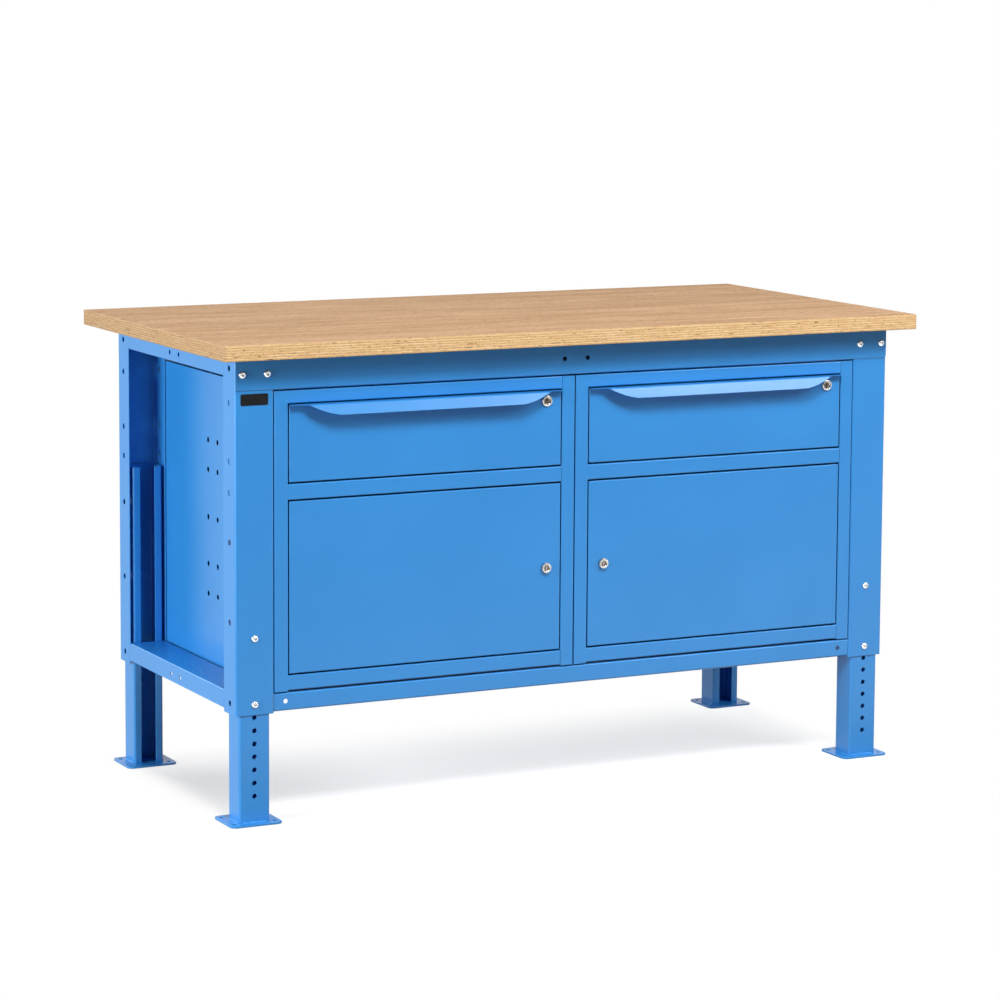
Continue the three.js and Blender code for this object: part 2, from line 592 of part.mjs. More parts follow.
// The drawer front: a pan whose top edge folds forwards to a ledge and then down to a grip.
function drawerFront(centre, lockX) {
  const half = FRONT_WIDTH / 2;
  const x0 = centre - half;
  const x1 = centre + half;
  const foldZ = DRAWER_FRONT_TOP - CABINET_SHEET;
  const body = pan(x0, x1, DRAWER_FRONT_BOTTOM, DRAWER_FRONT_TOP,
    FRAME_FRONT, FRONT_PAN_DEPTH, CABINET_SHEET, FRONT_CORNER);
  const path = [[-LEDGE_REACH - GRIP_SPLAY, foldZ - GRIP_HEIGHT], [-LEDGE_REACH, foldZ],
    [CABINET_SHEET + FRONT_CORNER, foldZ]];
  const section = foldedSheet(path, CABINET_SHEET, GRIP_BEND)
    .map(([depth, z]) => [FRAME_FRONT + depth, z]);
  const lip = prism(section, ALONG_X, x0, x1);
  const low = foldZ - 2 * GRIP_HEIGHT;
  const gripCurve = new THREE.QuadraticBezierCurve(
    new THREE.Vector2(GRIP_TIP_INSET, foldZ),
    new THREE.Vector2(GRIP_CURVE_INSET, foldZ - GRIP_HEIGHT),
    new THREE.Vector2(GRIP_LOWER_INSET, foldZ - GRIP_HEIGHT - CABINET_SHEET),
  ).getPoints(CURVE_STEPS).map(({ x, y }) => [x, y]);
  const gripEnd = (sign) => [[0, foldZ], ...gripCurve, [GRIP_LOWER_INSET, low], [0, low]]
    .map(([inset, z]) => [z, centre + sign * (half - inset)]);
  const reach = FRAME_FRONT - 2 * (LEDGE_REACH + GRIP_SPLAY);
  const ledgeEnd = (sign) => [[0, -LEDGE_END_REACH], [GRIP_TIP_INSET - GRIP_TIP_SLOPE, -LEDGE_END_REACH],
    [GRIP_TIP_INSET, -LEDGE_REACH], [GRIP_TIP_INSET, reach - FRAME_FRONT], [0, reach - FRAME_FRONT]]
    .map(([inset, depth]) => [centre + sign * (half - inset), FRAME_FRONT + depth]);
  const trims = [-1, 1].flatMap((sign) => [
    prism(gripEnd(sign), ALONG_Y, reach, FRAME_FRONT - CABINET_SHEET),
    prism(ledgeEnd(sign), ALONG_Z, low, DRAWER_FRONT_TOP + GRIP_HEIGHT),
  ]);
  const lockHole = rod('y', [lockX, FRAME_FRONT, DRAWER_LOCK_Z],
    LOCK_BARREL_DIAMETER + 2 * SEAT_GAP, DRILL_SHEETS * CABINET_SHEET, LOCK_SIDES);
  return body.add(cut(lip, trims)).subtract(lockHole);
}

// The tray carries the innermost runner member on each side.
function drawerTray(centre) {
  const x0 = centre - TRAY_HALF_WIDTH;
  const x1 = centre + TRAY_HALF_WIDTH;
  const rear = TRAY_FRONT + TRAY_LENGTH;
  const outside = block(x0, x1, TRAY_FRONT, rear, TRAY_BOTTOM, TRAY_BOTTOM + TRAY_HEIGHT);
  const inside = block(x0 + CABINET_SHEET, x1 - CABINET_SHEET,
    TRAY_FRONT + CABINET_SHEET, rear - CABINET_SHEET,
    TRAY_BOTTOM + CABINET_SHEET, TRAY_BOTTOM + 2 * TRAY_HEIGHT);
  const runnerEnd = RUNNER_Y + RUNNER_LENGTH - RUNNER_START;
  const members = [-1, 1].map((side) => runnerMember(centre, side, 2, RUNNER_Y, runnerEnd));
  return join([outside.subtract(inside), ...members]);
}

// One of the three nested members of a runner: 0 is fixed, 1 is in the middle, 2 is on the drawer.
function runnerMember(centre, side, level, from, to) {
  const step = RUNNER_SHEET + RUNNER_PLAY;
  const half = RUNNER_HEIGHT / 2 - level * step;
  const back = RUNNER_WALL - level * step;
  const open = level === 2 ? TRAY_HALF_WIDTH : TRAY_HALF_WIDTH + step;
  const path = level === 2
    ? [[back, half], [open - RUNNER_SHEET / 2, half], [open - RUNNER_SHEET / 2, -half], [back, -half]]
    : [[open, -half], [back, -half], [back, half], [open, half]];
  const section = foldedSheet(path, RUNNER_SHEET, RUNNER_SHEET / 2)
    .map(([out, up]) => [RUNNER_Z + up, centre + side * out]);
  return prism(section, ALONG_Y, from, to);
}

// The fixed member stands off the cabinet wall on two Z brackets.
function fixedRunner(centre, side) {
  const member = runnerMember(centre, side, 0, RUNNER_Y, RUNNER_Y + RUNNER_LENGTH);
  const wall = CABINET_WIDTH / 2 - CABINET_SHEET - SEAT_GAP;
  const inner = RUNNER_WALL + RUNNER_SHEET / 2;
  const bottom = RUNNER_Z - RUNNER_BRACKET_HEIGHT / 2;
  const places = [RUNNER_Y + RUNNER_BRACKET_INSET, RUNNER_Y + RUNNER_LENGTH - RUNNER_BRACKET_INSET];
  const brackets = places.map((y) => {
    const path = [[inner, y - RUNNER_BRACKET_FOOT], [inner, y],
      [wall, y], [wall, y + RUNNER_BRACKET_FOOT]];
    const section = foldedSheet(path, RUNNER_SHEET, RUNNER_SHEET / 2)
      .map(([out, along]) => [centre + side * out, along]);
    return prism(section, ALONG_Z, bottom, bottom + RUNNER_BRACKET_HEIGHT);
  });
  return join([member, ...brackets]);
}

function door(centre, hingeX, lockX) {
  const half = FRONT_WIDTH / 2;
  const body = pan(centre - half, centre + half, DOOR_BOTTOM, DOOR_TOP,
    FRAME_FRONT, DOOR_PAN_DEPTH, CABINET_SHEET, FRONT_CORNER);
  const pivotY = FRAME_FRONT + DOOR_PIVOT_SETBACK;
  const drills = [DOOR_BOTTOM, DOOR_TOP].map((z) => rod('z', [hingeX, pivotY, z],
    HINGE_PIN_DIAMETER + 2 * PIN_CLEARANCE, DRILL_SHEETS * CABINET_SHEET, PIN_SIDES));
  drills.push(rod('y', [lockX, FRAME_FRONT, DOOR_LOCK_Z],
    LOCK_BARREL_DIAMETER + 2 * SEAT_GAP, DRILL_SHEETS * CABINET_SHEET, LOCK_SIDES));
  return cut(body, drills);
}

function hingePin(x, joinZ) {
  const place = [x, FRAME_FRONT + DOOR_PIVOT_SETBACK, joinZ];
  return rod('z', place, HINGE_PIN_DIAMETER, 2 * HINGE_PIN_REACH, PIN_SIDES);
}

function lockHousing(x, z, ringDiameter, proud) {
  const ring = ringDiameter / 2;
  const barrel = LOCK_BARREL_DIAMETER / 2;
  const bore = LOCK_PLUG_DIAMETER / 2 + SEAT_GAP;
  const face = FRAME_FRONT - proud;
  const seat = FRAME_FRONT - SEAT_GAP;
  const end = FRAME_FRONT + LOCK_WALL_BEHIND;
  const profile = [[bore, face], [ring - LOCK_RING_CHAMFER, face], [ring, face + LOCK_RING_CHAMFER],
    [ring, seat], [barrel, seat], [barrel, end], [bore, end], [bore, face]];
  return turned(profile, x, z, LOCK_SIDES);
}

// The plug turns in the housing and carries the cam that reaches behind the cabinet's frame.
function lockPlug(x, z, proud, camX, camZ) {
  const radius = LOCK_PLUG_DIAMETER / 2;
  const face = FRAME_FRONT - proud + SEAT_GAP;
  const camFace = FRAME_FRONT + CAM_BEHIND;
  const end = camFace + CAM_THICKNESS;
  const plug = turned([[0, face], [radius, face], [radius, end], [0, end]], x, z, LOCK_SIDES);
  const keyway = block(x - KEYWAY_WIDTH / 2, x + KEYWAY_WIDTH / 2,
    face - KEYWAY_DEPTH, face + KEYWAY_DEPTH, z - KEYWAY_HEIGHT / 2, z + KEYWAY_HEIGHT / 2);
  const halfWidth = CAM_WIDTH / 2;
  const cam = block(
    x + Math.min(camX, camX === 0 ? -halfWidth : 0), x + Math.max(camX, camX === 0 ? halfWidth : 0),
    camFace, end,
    z + Math.min(camZ, camZ === 0 ? -halfWidth : 0), z + Math.max(camZ, camZ === 0 ? halfWidth : 0));
  return plug.add(cam).subtract(keyway);
}

// Assembly of the frame
addPart('worktop', worktop(), plywood);
for (const [faceName, face, inward] of FACES) {
  for (const [sideName, side] of SIDES) {
    const x = side * UPRIGHT_X;
    const corner = `${faceName}_${sideName}`;
    const railBolts = [-1, 1].map((sign) => [x + (sign * RAIL_BOLT_SPACING) / 2, RAIL_BOLT_Z]);
    const legBolts = LEG_BOLT_HEIGHTS.map((z) => [x, z]);
    addPart(`${corner}_upright`, upright(x, face, inward), blueCoat);
    addPart(`${corner}_foot`, foot(x, face, inward), blueCoat);
    addPart(`${corner}_rail_bolts`,
      boltPair(railBolts, face, inward, FRAME_SHEET + SEAT_GAP, FRAME_SHEET), zinc);
    addPart(`${corner}_leg_bolts`, boltPair(legBolts, face, inward, 0, FOOT_FACE + FOOT_SHEET), zinc);
  }
  addPart(`${faceName}_top_rail`, topRail(face, inward), blueCoat);
  addPart(`${faceName}_lower_rail`, lowerRail(face, inward), blueCoat);
}
for (const [sideName, side] of SIDES) {
  addPart(`${sideName}_top_end_rail`, topEndRail(side), blueCoat);
  addPart(`${sideName}_lower_end_rail`, lowerEndRail(side), blueCoat);
}

// Assembly of the cabinets, drawers and doors
for (const [sideName, side] of SIDES) {
  const centre = side * CABINET_X;
  const hingeX = centre + side * (FRONT_WIDTH / 2 - DOOR_PIVOT_INSET);
  const pivotY = FRAME_FRONT + DOOR_PIVOT_SETBACK;
  const drawerLockX = centre + LOCK_BEHIND_CENTRE;
  const doorLockX = centre - side * LOCK_BEHIND_CENTRE;
  addPart(`${sideName}_cabinet_shell`, cabinetShell(centre, side), blueCoat);
  addPart(`${sideName}_cabinet_top_rail`,
    cabinetRail(centre, DRAWER_OPENING_TOP, CABINET_TOP_RAIL, []), blueCoat);
  const upperPivot = [hingeX, pivotY, DOOR_OPENING_TOP];
  const lowerPivot = [hingeX, pivotY, DOOR_OPENING_BOTTOM];
  addPart(`${sideName}_cabinet_middle_rail`,
    cabinetRail(centre, DOOR_OPENING_TOP, CABINET_MIDDLE_RAIL, [upperPivot]), blueCoat);
  addPart(`${sideName}_cabinet_bottom_rail`,
    cabinetRail(centre, CABINET_BOTTOM, CABINET_BOTTOM_RAIL, [lowerPivot]), blueCoat);
  addPart(`${sideName}_drawer_front`, drawerFront(centre, drawerLockX), blueCoat);
  addPart(`${sideName}_drawer_tray`, drawerTray(centre), blueCoat);
  for (const [runnerName, runnerSide] of SIDES) {
    addPart(`${sideName}_drawer_${runnerName}_fixed_runner`, fixedRunner(centre, runnerSide), zinc);
    addPart(`${sideName}_drawer_${runnerName}_middle_runner`,
      runnerMember(centre, runnerSide, 1, RUNNER_Y, RUNNER_Y + RUNNER_LENGTH), zinc);
  }
  addPart(`${sideName}_door`, door(centre, hingeX, doorLockX), blueCoat);
  addPart(`${sideName}_door_upper_hinge_pin`, hingePin(hingeX, DOOR_OPENING_TOP), zinc);
  addPart(`${sideName}_door_lower_hinge_pin`, hingePin(hingeX, DOOR_OPENING_BOTTOM), zinc);
  addPart(`${sideName}_drawer_lock_housing`,
    lockHousing(drawerLockX, DRAWER_LOCK_Z, DRAWER_LOCK_RING, DRAWER_LOCK_PROUD), nickel);
  addPart(`${sideName}_drawer_lock_plug`,
    lockPlug(drawerLockX, DRAWER_LOCK_Z, DRAWER_LOCK_PROUD, -DRAWER_CAM_LENGTH, 0), nickel);
  addPart(`${sideName}_door_lock_housing`,
    lockHousing(doorLockX, DOOR_LOCK_Z, DOOR_LOCK_RING, DOOR_LOCK_PROUD), nickel);
  addPart(`${sideName}_door_lock_plug`,
    lockPlug(doorLockX, DOOR_LOCK_Z, DOOR_LOCK_PROUD, 0, -DOOR_CAM_LENGTH), nickel);
}

export default bench;
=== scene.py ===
# %% [markdown]
# # A workshop bench with two cabinets
# The bench is a plywood board on a bolted frame of folded sheet steel, with two cabinets set into the
# frame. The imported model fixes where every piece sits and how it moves. This lesson loads that model,
# sets the camera, mixes the finishes, and then dresses the frame piece by piece, as a maker would.

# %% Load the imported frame
import bmesh
import bpy
import math
from mathutils import Matrix, Vector


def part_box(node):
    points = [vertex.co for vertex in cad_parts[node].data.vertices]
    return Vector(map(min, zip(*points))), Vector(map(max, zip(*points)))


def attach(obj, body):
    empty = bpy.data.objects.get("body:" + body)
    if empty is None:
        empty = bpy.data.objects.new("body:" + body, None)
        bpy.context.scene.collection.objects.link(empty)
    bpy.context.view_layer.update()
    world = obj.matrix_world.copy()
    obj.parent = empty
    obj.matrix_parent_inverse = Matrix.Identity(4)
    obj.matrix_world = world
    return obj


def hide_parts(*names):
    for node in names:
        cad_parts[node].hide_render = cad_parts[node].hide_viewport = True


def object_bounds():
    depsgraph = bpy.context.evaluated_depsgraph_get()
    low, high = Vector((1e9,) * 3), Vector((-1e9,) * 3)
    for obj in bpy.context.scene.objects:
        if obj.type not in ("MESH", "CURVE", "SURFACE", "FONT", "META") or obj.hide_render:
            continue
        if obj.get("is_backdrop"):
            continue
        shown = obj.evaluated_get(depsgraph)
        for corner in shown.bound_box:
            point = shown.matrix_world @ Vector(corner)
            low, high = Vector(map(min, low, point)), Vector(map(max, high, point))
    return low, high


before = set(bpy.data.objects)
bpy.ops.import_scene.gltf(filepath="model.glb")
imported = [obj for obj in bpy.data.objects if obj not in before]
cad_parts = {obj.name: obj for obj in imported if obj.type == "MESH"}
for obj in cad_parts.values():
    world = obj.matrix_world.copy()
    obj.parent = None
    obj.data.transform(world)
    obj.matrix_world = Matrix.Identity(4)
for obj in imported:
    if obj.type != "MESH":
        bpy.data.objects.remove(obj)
cad_low, cad_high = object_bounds()
MM = 0.001

# %% [markdown]
# ## The camera
# The photograph was taken with a long lens from the front left, a little above the worktop, and its
# upright edges stay almost parallel. A tilted camera alone would let them lean, so part of the downward
# look is made with the lens shift. The shift is kept small, so that the other views stay in the frame.

# %% Camera at the photograph's place
PHOTO_SIDE = 1000
FOCAL_LENGTH_PIXELS = 3469.85
SENSOR_WIDTH = 36.0
CAMERA_PLACE = Vector((-3134.03, -6204.66, 1592.23)) * MM
CAMERA_YAW = 26.8
CAMERA_PITCH = -6.73
CAMERA_ROLL = 0.35
LENS_SHIFT = -0.12

lens = bpy.data.cameras.new("photo_lens")
lens.sensor_fit = "HORIZONTAL"
lens.sensor_width = SENSOR_WIDTH
lens.lens = SENSOR_WIDTH * FOCAL_LENGTH_PIXELS / PHOTO_SIDE
lens.shift_y = LENS_SHIFT
camera = bpy.data.objects.new("photo_camera", lens)
heading = Matrix.Rotation(math.radians(-CAMERA_YAW), 4, "Z")
tilt = Matrix.Rotation(math.radians(90 + CAMERA_PITCH), 4, "X")
level = Matrix.Rotation(math.radians(CAMERA_ROLL), 4, "Z")
camera.matrix_world = Matrix.Translation(CAMERA_PLACE) @ heading @ tilt @ level
bpy.context.scene.collection.objects.link(camera)
bpy.context.scene.camera = camera
bpy.context.scene.view_settings.view_transform = "Standard"
print("camera:", round(lens.lens, 1), "mm lens")

# %% [markdown]
# ## Tools for the finishes
# Colours are written as the sRGB hex values that a colour card gives, and Blender wants linear light,
# so one function converts them. Another adds a shader node with its settings and links. Every pattern
# is laid out in the object's own metres, so `per` turns a real spacing in millimetres into a scale. In
# narrow seams and holes `shade_recess` paints shade into the colour, darker where surfaces close in.

# %% Colour and node tools
def linear(hex_colour):
    """An sRGB hex colour as linear red, green, blue and alpha."""
    channels = [int(hex_colour[i:i + 2], 16) / 255 for i in (1, 3, 5)]
    return (*[c / 12.92 if c <= 0.04045 else ((c + 0.055) / 1.055) ** 2.4 for c in channels], 1.0)


def add_node(tree, kind, inputs=None, ramp=None, **settings):
    """Adds a node. Inputs are values or output sockets to link, a ramp is a list of place and colour."""
    node = tree.nodes.new(kind)
    for name, value in settings.items():
        setattr(node, name, value)
    for socket, value in (inputs or {}).items():
        if isinstance(value, bpy.types.NodeSocket):
            tree.links.new(value, node.inputs[socket])
        else:
            node.inputs[socket].default_value = value
    for element, (place, colour) in zip(node.color_ramp.elements if ramp else (), ramp or ()):
        element.position = place
        element.color = linear(colour)
    return node


def new_finish(name):
    """A new material with its node tree, its shader and the object's own coordinates in metres."""
    material = bpy.data.materials.new(name)
    material.use_nodes = True
    tree = material.node_tree
    metres = add_node(tree, "ShaderNodeTexCoord").outputs["Object"]
    return material, tree, tree.nodes["Principled BSDF"], metres


def per(millimetres):
    """The scale of a pattern that repeats once in so many millimetres."""
    return 1 / (millimetres * MM)


def shade_recess(tree, colour, reach, open_level):
    """Paints shade into a colour where surfaces within a reach in mm close a spot in; from the open level it stays."""
    closed = add_node(tree, "ShaderNodeAmbientOcclusion", {"Distance": reach * MM}, samples=12)
    shade = add_node(tree, "ShaderNodeMapRange", {
        "Value": closed.outputs["AO"], "From Min": 0.1, "From Max": open_level, "To Min": 0.1, "To Max": 1.0})
    mixed = add_node(tree, "ShaderNodeMixRGB", {
        "Fac": 1.0, "Color1": colour, "Color2": shade.outputs["Result"]}, blend_type="MULTIPLY")
    return mixed.outputs["Color"]


print("tools for finishes: ready")

# %% [markdown]
# ## Blue powder coat
# The steel is sprayed with dry paint powder that melts in an oven into one thick, satin skin. To the
# eye it is an even azure with a very slight swell, called orange peel, that softens the reflections.
# A flat colour would look like paper, so the colour drifts a little over a hand's width, the gloss
# varies, and a shallow bump carries the peel.

# %% Powder coat
COAT_DRIFT = 240
COAT_GLOSS_PATCH = 30
PEEL_SPACING = 5  # about 2 mm on the real coat, drawn coarser so that it shows
PEEL_DEPTH = 0.2
SEAM_REACH = 8
powder_coat, tree, shader, metres = new_finish("powder_coat_azure")
drift = add_node(tree, "ShaderNodeTexNoise", {"Vector": metres, "Scale": per(COAT_DRIFT), "Detail": 3.0})
tone = add_node(tree, "ShaderNodeValToRGB", {"Fac": drift.outputs["Fac"]},
                ramp=[(0.3, "#2E8AD4"), (0.7, "#328FDA")])
patch = add_node(tree, "ShaderNodeTexNoise", {"Vector": metres, "Scale": per(COAT_GLOSS_PATCH)})
gloss = add_node(tree, "ShaderNodeMapRange", {
    "Value": patch.outputs["Fac"], "To Min": 0.285, "To Max": 0.325})
# painted shade: the blue is darkened in narrow seams, gaps and holes
seam_shaded = shade_recess(tree, tone.outputs["Color"], SEAM_REACH, 0.55)
peel = add_node(tree, "ShaderNodeTexNoise", {"Vector": metres, "Scale": per(PEEL_SPACING), "Detail": 1.0})
skin = add_node(tree, "ShaderNodeBump", {
    "Height": peel.outputs["Fac"], "Strength": 0.04, "Distance": PEEL_DEPTH * MM})
tree.links.new(seam_shaded, shader.inputs["Base Color"])
tree.links.new(gloss.outputs["Result"], shader.inputs["Roughness"])
tree.links.new(skin.outputs["Normal"], shader.inputs["Normal"])
shader.inputs["IOR"].default_value = 1.5
print("finish:", powder_coat.name)

# %% [markdown]
# ## Beech plywood, the face
# The board is multiplex: thin beech veneers glued crosswise and sanded. The face is one peeled veneer,
# pinkish tan, with broad soft bands, fine fibres along the length and short dark flecks. A picture of
# wood would repeat, so three noises stretched along the grain make the bands, fibres and flecks.

# %% Plywood face
GRAIN_BAND = (700, 55, 55)
GRAIN_FIBRE = (120, 2.8, 2.8)
GRAIN_FLECK = (14, 2.6, 2.6)  # a real fleck is under 1 mm wide, drawn wider so that it shows
plywood_face, tree, shader, metres = new_finish("beech_plywood_face")
layers = {}
for name, cell, detail, twist in [("band", GRAIN_BAND, 4.0, 0.9), ("fibre", GRAIN_FIBRE, 3.0, 0.2),
                                  ("fleck", GRAIN_FLECK, 1.0, 0.0)]:
    grain = add_node(tree, "ShaderNodeMapping", {"Vector": metres, "Scale": [per(size) for size in cell]})
    noise = add_node(tree, "ShaderNodeTexNoise", {
        "Vector": grain.outputs["Vector"], "Scale": 1.0, "Detail": detail, "Distortion": twist})
    layers[name] = noise.outputs["Fac"]
tone = add_node(tree, "ShaderNodeValToRGB", {"Fac": layers["band"]},
                ramp=[(0.34, "#C59D70"), (0.64, "#DDB58C")])
fibre = add_node(tree, "ShaderNodeValToRGB", {"Fac": layers["fibre"]},
                 ramp=[(0.34, "#D6C8BA"), (0.62, "#FFFFFF")])
fleck = add_node(tree, "ShaderNodeValToRGB", {"Fac": layers["fleck"]},
                 ramp=[(0.30, "#9C7F69"), (0.40, "#FFFFFF")])
fibred = add_node(tree, "ShaderNodeMixRGB", {
    "Fac": 1.0, "Color1": tone.outputs["Color"], "Color2": fibre.outputs["Color"]}, blend_type="MULTIPLY")
flecked = add_node(tree, "ShaderNodeMixRGB", {
    "Fac": 1.0, "Color1": fibred.outputs["Color"], "Color2": fleck.outputs["Color"]}, blend_type="MULTIPLY")
sanded = add_node(tree, "ShaderNodeMapRange", {"Value": layers["fibre"], "To Min": 0.74, "To Max": 0.62})
pores = add_node(tree, "ShaderNodeBump", {
    "Height": layers["fibre"], "Strength": 0.15, "Distance": 0.2 * MM})
tree.links.new(flecked.outputs["Color"], shader.inputs["Base Color"])
tree.links.new(sanded.outputs["Result"], shader.inputs["Roughness"])
tree.links.new(pores.outputs["Normal"], shader.inputs["Normal"])
shader.inputs["IOR"].default_value = 1.5
print("finish:", plywood_face.name)

# %% [markdown]
# ## Beech plywood, the edge
# On the sawn edge the veneers show as thin stripes. Every other one runs along the edge and looks pale
# and streaked, and those between show their end grain, darker and dotted. The height decides the veneer
# and its number shifts the noise, so each stripe has its own streaks. The two short ends are painted a
# little darker, as painted shade.

# %% Plywood edge
PLY_THICKNESS = 2.3  # about 1.5 mm on the real board, drawn thicker so that it shows
STREAK_LENGTH = 45
PORE_LENGTH = 3
SPECK_LENGTH = 18
BOARD_END = cad_high.x - 1.2 * MM
plywood_edge, tree, shader, metres = new_finish("beech_plywood_edge")
place = add_node(tree, "ShaderNodeSeparateXYZ", {"Vector": metres})
along = add_node(tree, "ShaderNodeMath", {
    0: place.outputs["X"], 1: place.outputs["Y"]}, operation="ADD").outputs["Value"]
height = add_node(tree, "ShaderNodeMath", {
    0: place.outputs["Z"], 1: per(PLY_THICKNESS)}, operation="MULTIPLY").outputs["Value"]
ply = add_node(tree, "ShaderNodeMath", {0: height}, operation="FLOOR").outputs["Value"]
crosswise = add_node(tree, "ShaderNodeMath", {0: ply, 1: 2.0}, operation="MODULO").outputs["Value"]
within = add_node(tree, "ShaderNodeMath", {0: height}, operation="FRACT").outputs["Value"]
layers = {}
for name, size, shift in [("streak", STREAK_LENGTH, 3.7), ("pore", PORE_LENGTH, 5.3), ("speck", SPECK_LENGTH, 8.9)]:
    run = add_node(tree, "ShaderNodeMath", {0: along, 1: per(size)}, operation="MULTIPLY").outputs["Value"]
    row = add_node(tree, "ShaderNodeMath", {0: ply, 1: shift}, operation="MULTIPLY").outputs["Value"]
    spot = add_node(tree, "ShaderNodeCombineXYZ", {"X": run, "Y": row, "Z": within})
    noise = add_node(tree, "ShaderNodeTexNoise", {"Vector": spot.outputs["Vector"], "Scale": 1.0, "Detail": 3.0})
    layers[name] = noise.outputs["Fac"]
pale = add_node(tree, "ShaderNodeValToRGB", {"Fac": layers["streak"]},
                ramp=[(0.30, "#D9AE78"), (0.60, "#F0D2A2")])
dark = add_node(tree, "ShaderNodeValToRGB", {"Fac": layers["pore"]},
                ramp=[(0.32, "#BC8B52"), (0.62, "#E6BF8A")])
plies = add_node(tree, "ShaderNodeMixRGB", {
    "Fac": crosswise, "Color1": pale.outputs["Color"], "Color2": dark.outputs["Color"]})
glue = add_node(tree, "ShaderNodeValToRGB", {"Fac": within}, ramp=[(0.06, "#B79A7C"), (0.2, "#FFFFFF")])
glued = add_node(tree, "ShaderNodeMixRGB", {
    "Fac": 1.0, "Color1": plies.outputs["Color"], "Color2": glue.outputs["Color"]}, blend_type="MULTIPLY")
speck = add_node(tree, "ShaderNodeValToRGB", {"Fac": layers["speck"]},
                 ramp=[(0.29, "#6E4B2C"), (0.37, "#FFFFFF")])
specked = add_node(tree, "ShaderNodeMixRGB", {
    "Fac": 1.0, "Color1": glued.outputs["Color"], "Color2": speck.outputs["Color"]}, blend_type="MULTIPLY")
# painted shade: the two short ends of the board are a shade darker
reach = add_node(tree, "ShaderNodeMath", {0: place.outputs["X"]}, operation="ABSOLUTE").outputs["Value"]
end_shade_mask = add_node(tree, "ShaderNodeMath", {0: reach, 1: BOARD_END}, operation="GREATER_THAN").outputs["Value"]
end_shaded = add_node(tree, "ShaderNodeMixRGB", {
    "Fac": end_shade_mask, "Color1": specked.outputs["Color"], "Color2": linear("#D6D3D1")}, blend_type="MULTIPLY")
sawn = add_node(tree, "ShaderNodeBump", {"Height": layers["pore"], "Strength": 0.25, "Distance": 0.2 * MM})
tree.links.new(end_shaded.outputs["Color"], shader.inputs["Base Color"])
tree.links.new(sawn.outputs["Normal"], shader.inputs["Normal"])
shader.inputs["Roughness"].default_value = 0.6
shader.inputs["IOR"].default_value = 1.5
print("finish:", plywood_edge.name)

# %% [markdown]
# ## Plated and galvanised steel
# Bolts and lock cams are zinc-plated, the locks are die-cast and nickel-plated, and the runners are
# rolled from galvanised strip. All are metals, so they take their look from what they reflect. Only
# the colour, the roughness and a fine pattern differ, so one loop makes the three.

# %% Plated metals
RECESS_REACH = 6
METALS = [
    # name, colour in a dull and a bright spot, pattern in mm, roughness from and to
    ("zinc_plated_steel", "#CDD1D5", "#ECEEF0", 2.5, 0.14, 0.26),
    ("nickel_plated_zinc", "#B5B3AF", "#D9D7D3", 6.0, 0.10, 0.18),
    ("galvanised_strip", "#A3A9AF", "#C6CACE", 9.0, 0.34, 0.48),
]
metals = {}
for name, dull, bright, pattern, smooth, rough in METALS:
    metal, tree, shader, metres = new_finish(name)
    cloud = add_node(tree, "ShaderNodeTexNoise", {"Vector": metres, "Scale": per(pattern), "Detail": 3.0})
    tone = add_node(tree, "ShaderNodeValToRGB", {"Fac": cloud.outputs["Fac"]}, ramp=[(0.3, dull), (0.7, bright)])
    gloss = add_node(tree, "ShaderNodeMapRange", {
        "Value": cloud.outputs["Fac"], "To Min": rough, "To Max": smooth})
    # painted shade: the colour is darkened in sockets, keyways and bores
    tree.links.new(shade_recess(tree, tone.outputs["Color"], RECESS_REACH, 0.8), shader.inputs["Base Color"])
    tree.links.new(gloss.outputs["Result"], shader.inputs["Roughness"])
    shader.inputs["Metallic"].default_value = 1.0
    metals[name] = metal
zinc, nickel, galvanised = metals.values()
print("finishes:", ", ".join(metals))

# %% [markdown]
# ## Dark finishes
# The lock plugs are brass with a worn, brownish face, the hinge pins are steel with a black oxide skin,
# and the small plate on the front left upright is matt black lacquered aluminium. All get a little
# unevenness, because a pure black shows as a hole.

# %% Lock brass, black oxide and black lacquer
LACQUER_PATCH = 8
lock_brass, tree, shader, metres = new_finish("worn_lock_brass")
wear = add_node(tree, "ShaderNodeTexNoise", {"Vector": metres, "Scale": per(1.5), "Detail": 2.0})
tone = add_node(tree, "ShaderNodeValToRGB", {"Fac": wear.outputs["Fac"]}, ramp=[(0.3, "#574D45"), (0.7, "#857A6F")])
# painted shade: the colour is darkened in the keyway
tree.links.new(shade_recess(tree, tone.outputs["Color"], RECESS_REACH, 0.8), shader.inputs["Base Color"])
shader.inputs["Metallic"].default_value = 1.0
shader.inputs["Roughness"].default_value = 0.32

black_oxide, tree, shader, metres = new_finish("black_oxide_steel")
cloud = add_node(tree, "ShaderNodeTexNoise", {"Vector": metres, "Scale": per(4.0), "Detail": 2.0})
tone = add_node(tree, "ShaderNodeValToRGB", {"Fac": cloud.outputs["Fac"]}, ramp=[(0.3, "#1C1D20"), (0.7, "#2B2D31")])
tree.links.new(tone.outputs["Color"], shader.inputs["Base Color"])
shader.inputs["Roughness"].default_value = 0.5

black_lacquer, tree, shader, metres = new_finish("black_lacquered_plate")
cloud = add_node(tree, "ShaderNodeTexNoise", {"Vector": metres, "Scale": per(LACQUER_PATCH)})
tone = add_node(tree, "ShaderNodeValToRGB", {"Fac": cloud.outputs["Fac"]}, ramp=[(0.3, "#101114"), (0.7, "#17181C")])
gloss = add_node(tree, "ShaderNodeMapRange", {"Value": cloud.outputs["Fac"], "To Min": 0.28, "To Max": 0.4})
tree.links.new(tone.outputs["Color"], shader.inputs["Base Color"])
tree.links.new(gloss.outputs["Result"], shader.inputs["Roughness"])
shader.inputs["Specular IOR Level"].default_value = 0.2
print("finishes:", lock_brass.name, black_oxide.name, black_lacquer.name)

# %% [markdown]
# ## Tools for folded sheet
# Nearly every piece is sheet steel, cut flat and then folded. So the tool works as a press brake does:
# it takes the path of one face of the sheet and gives the outline of the folded section, with true bend
# radii. The outline is swept along an axis. Box primitives would lose the bends, and the soft line of
# light along each bend is what makes sheet metal look like sheet metal.

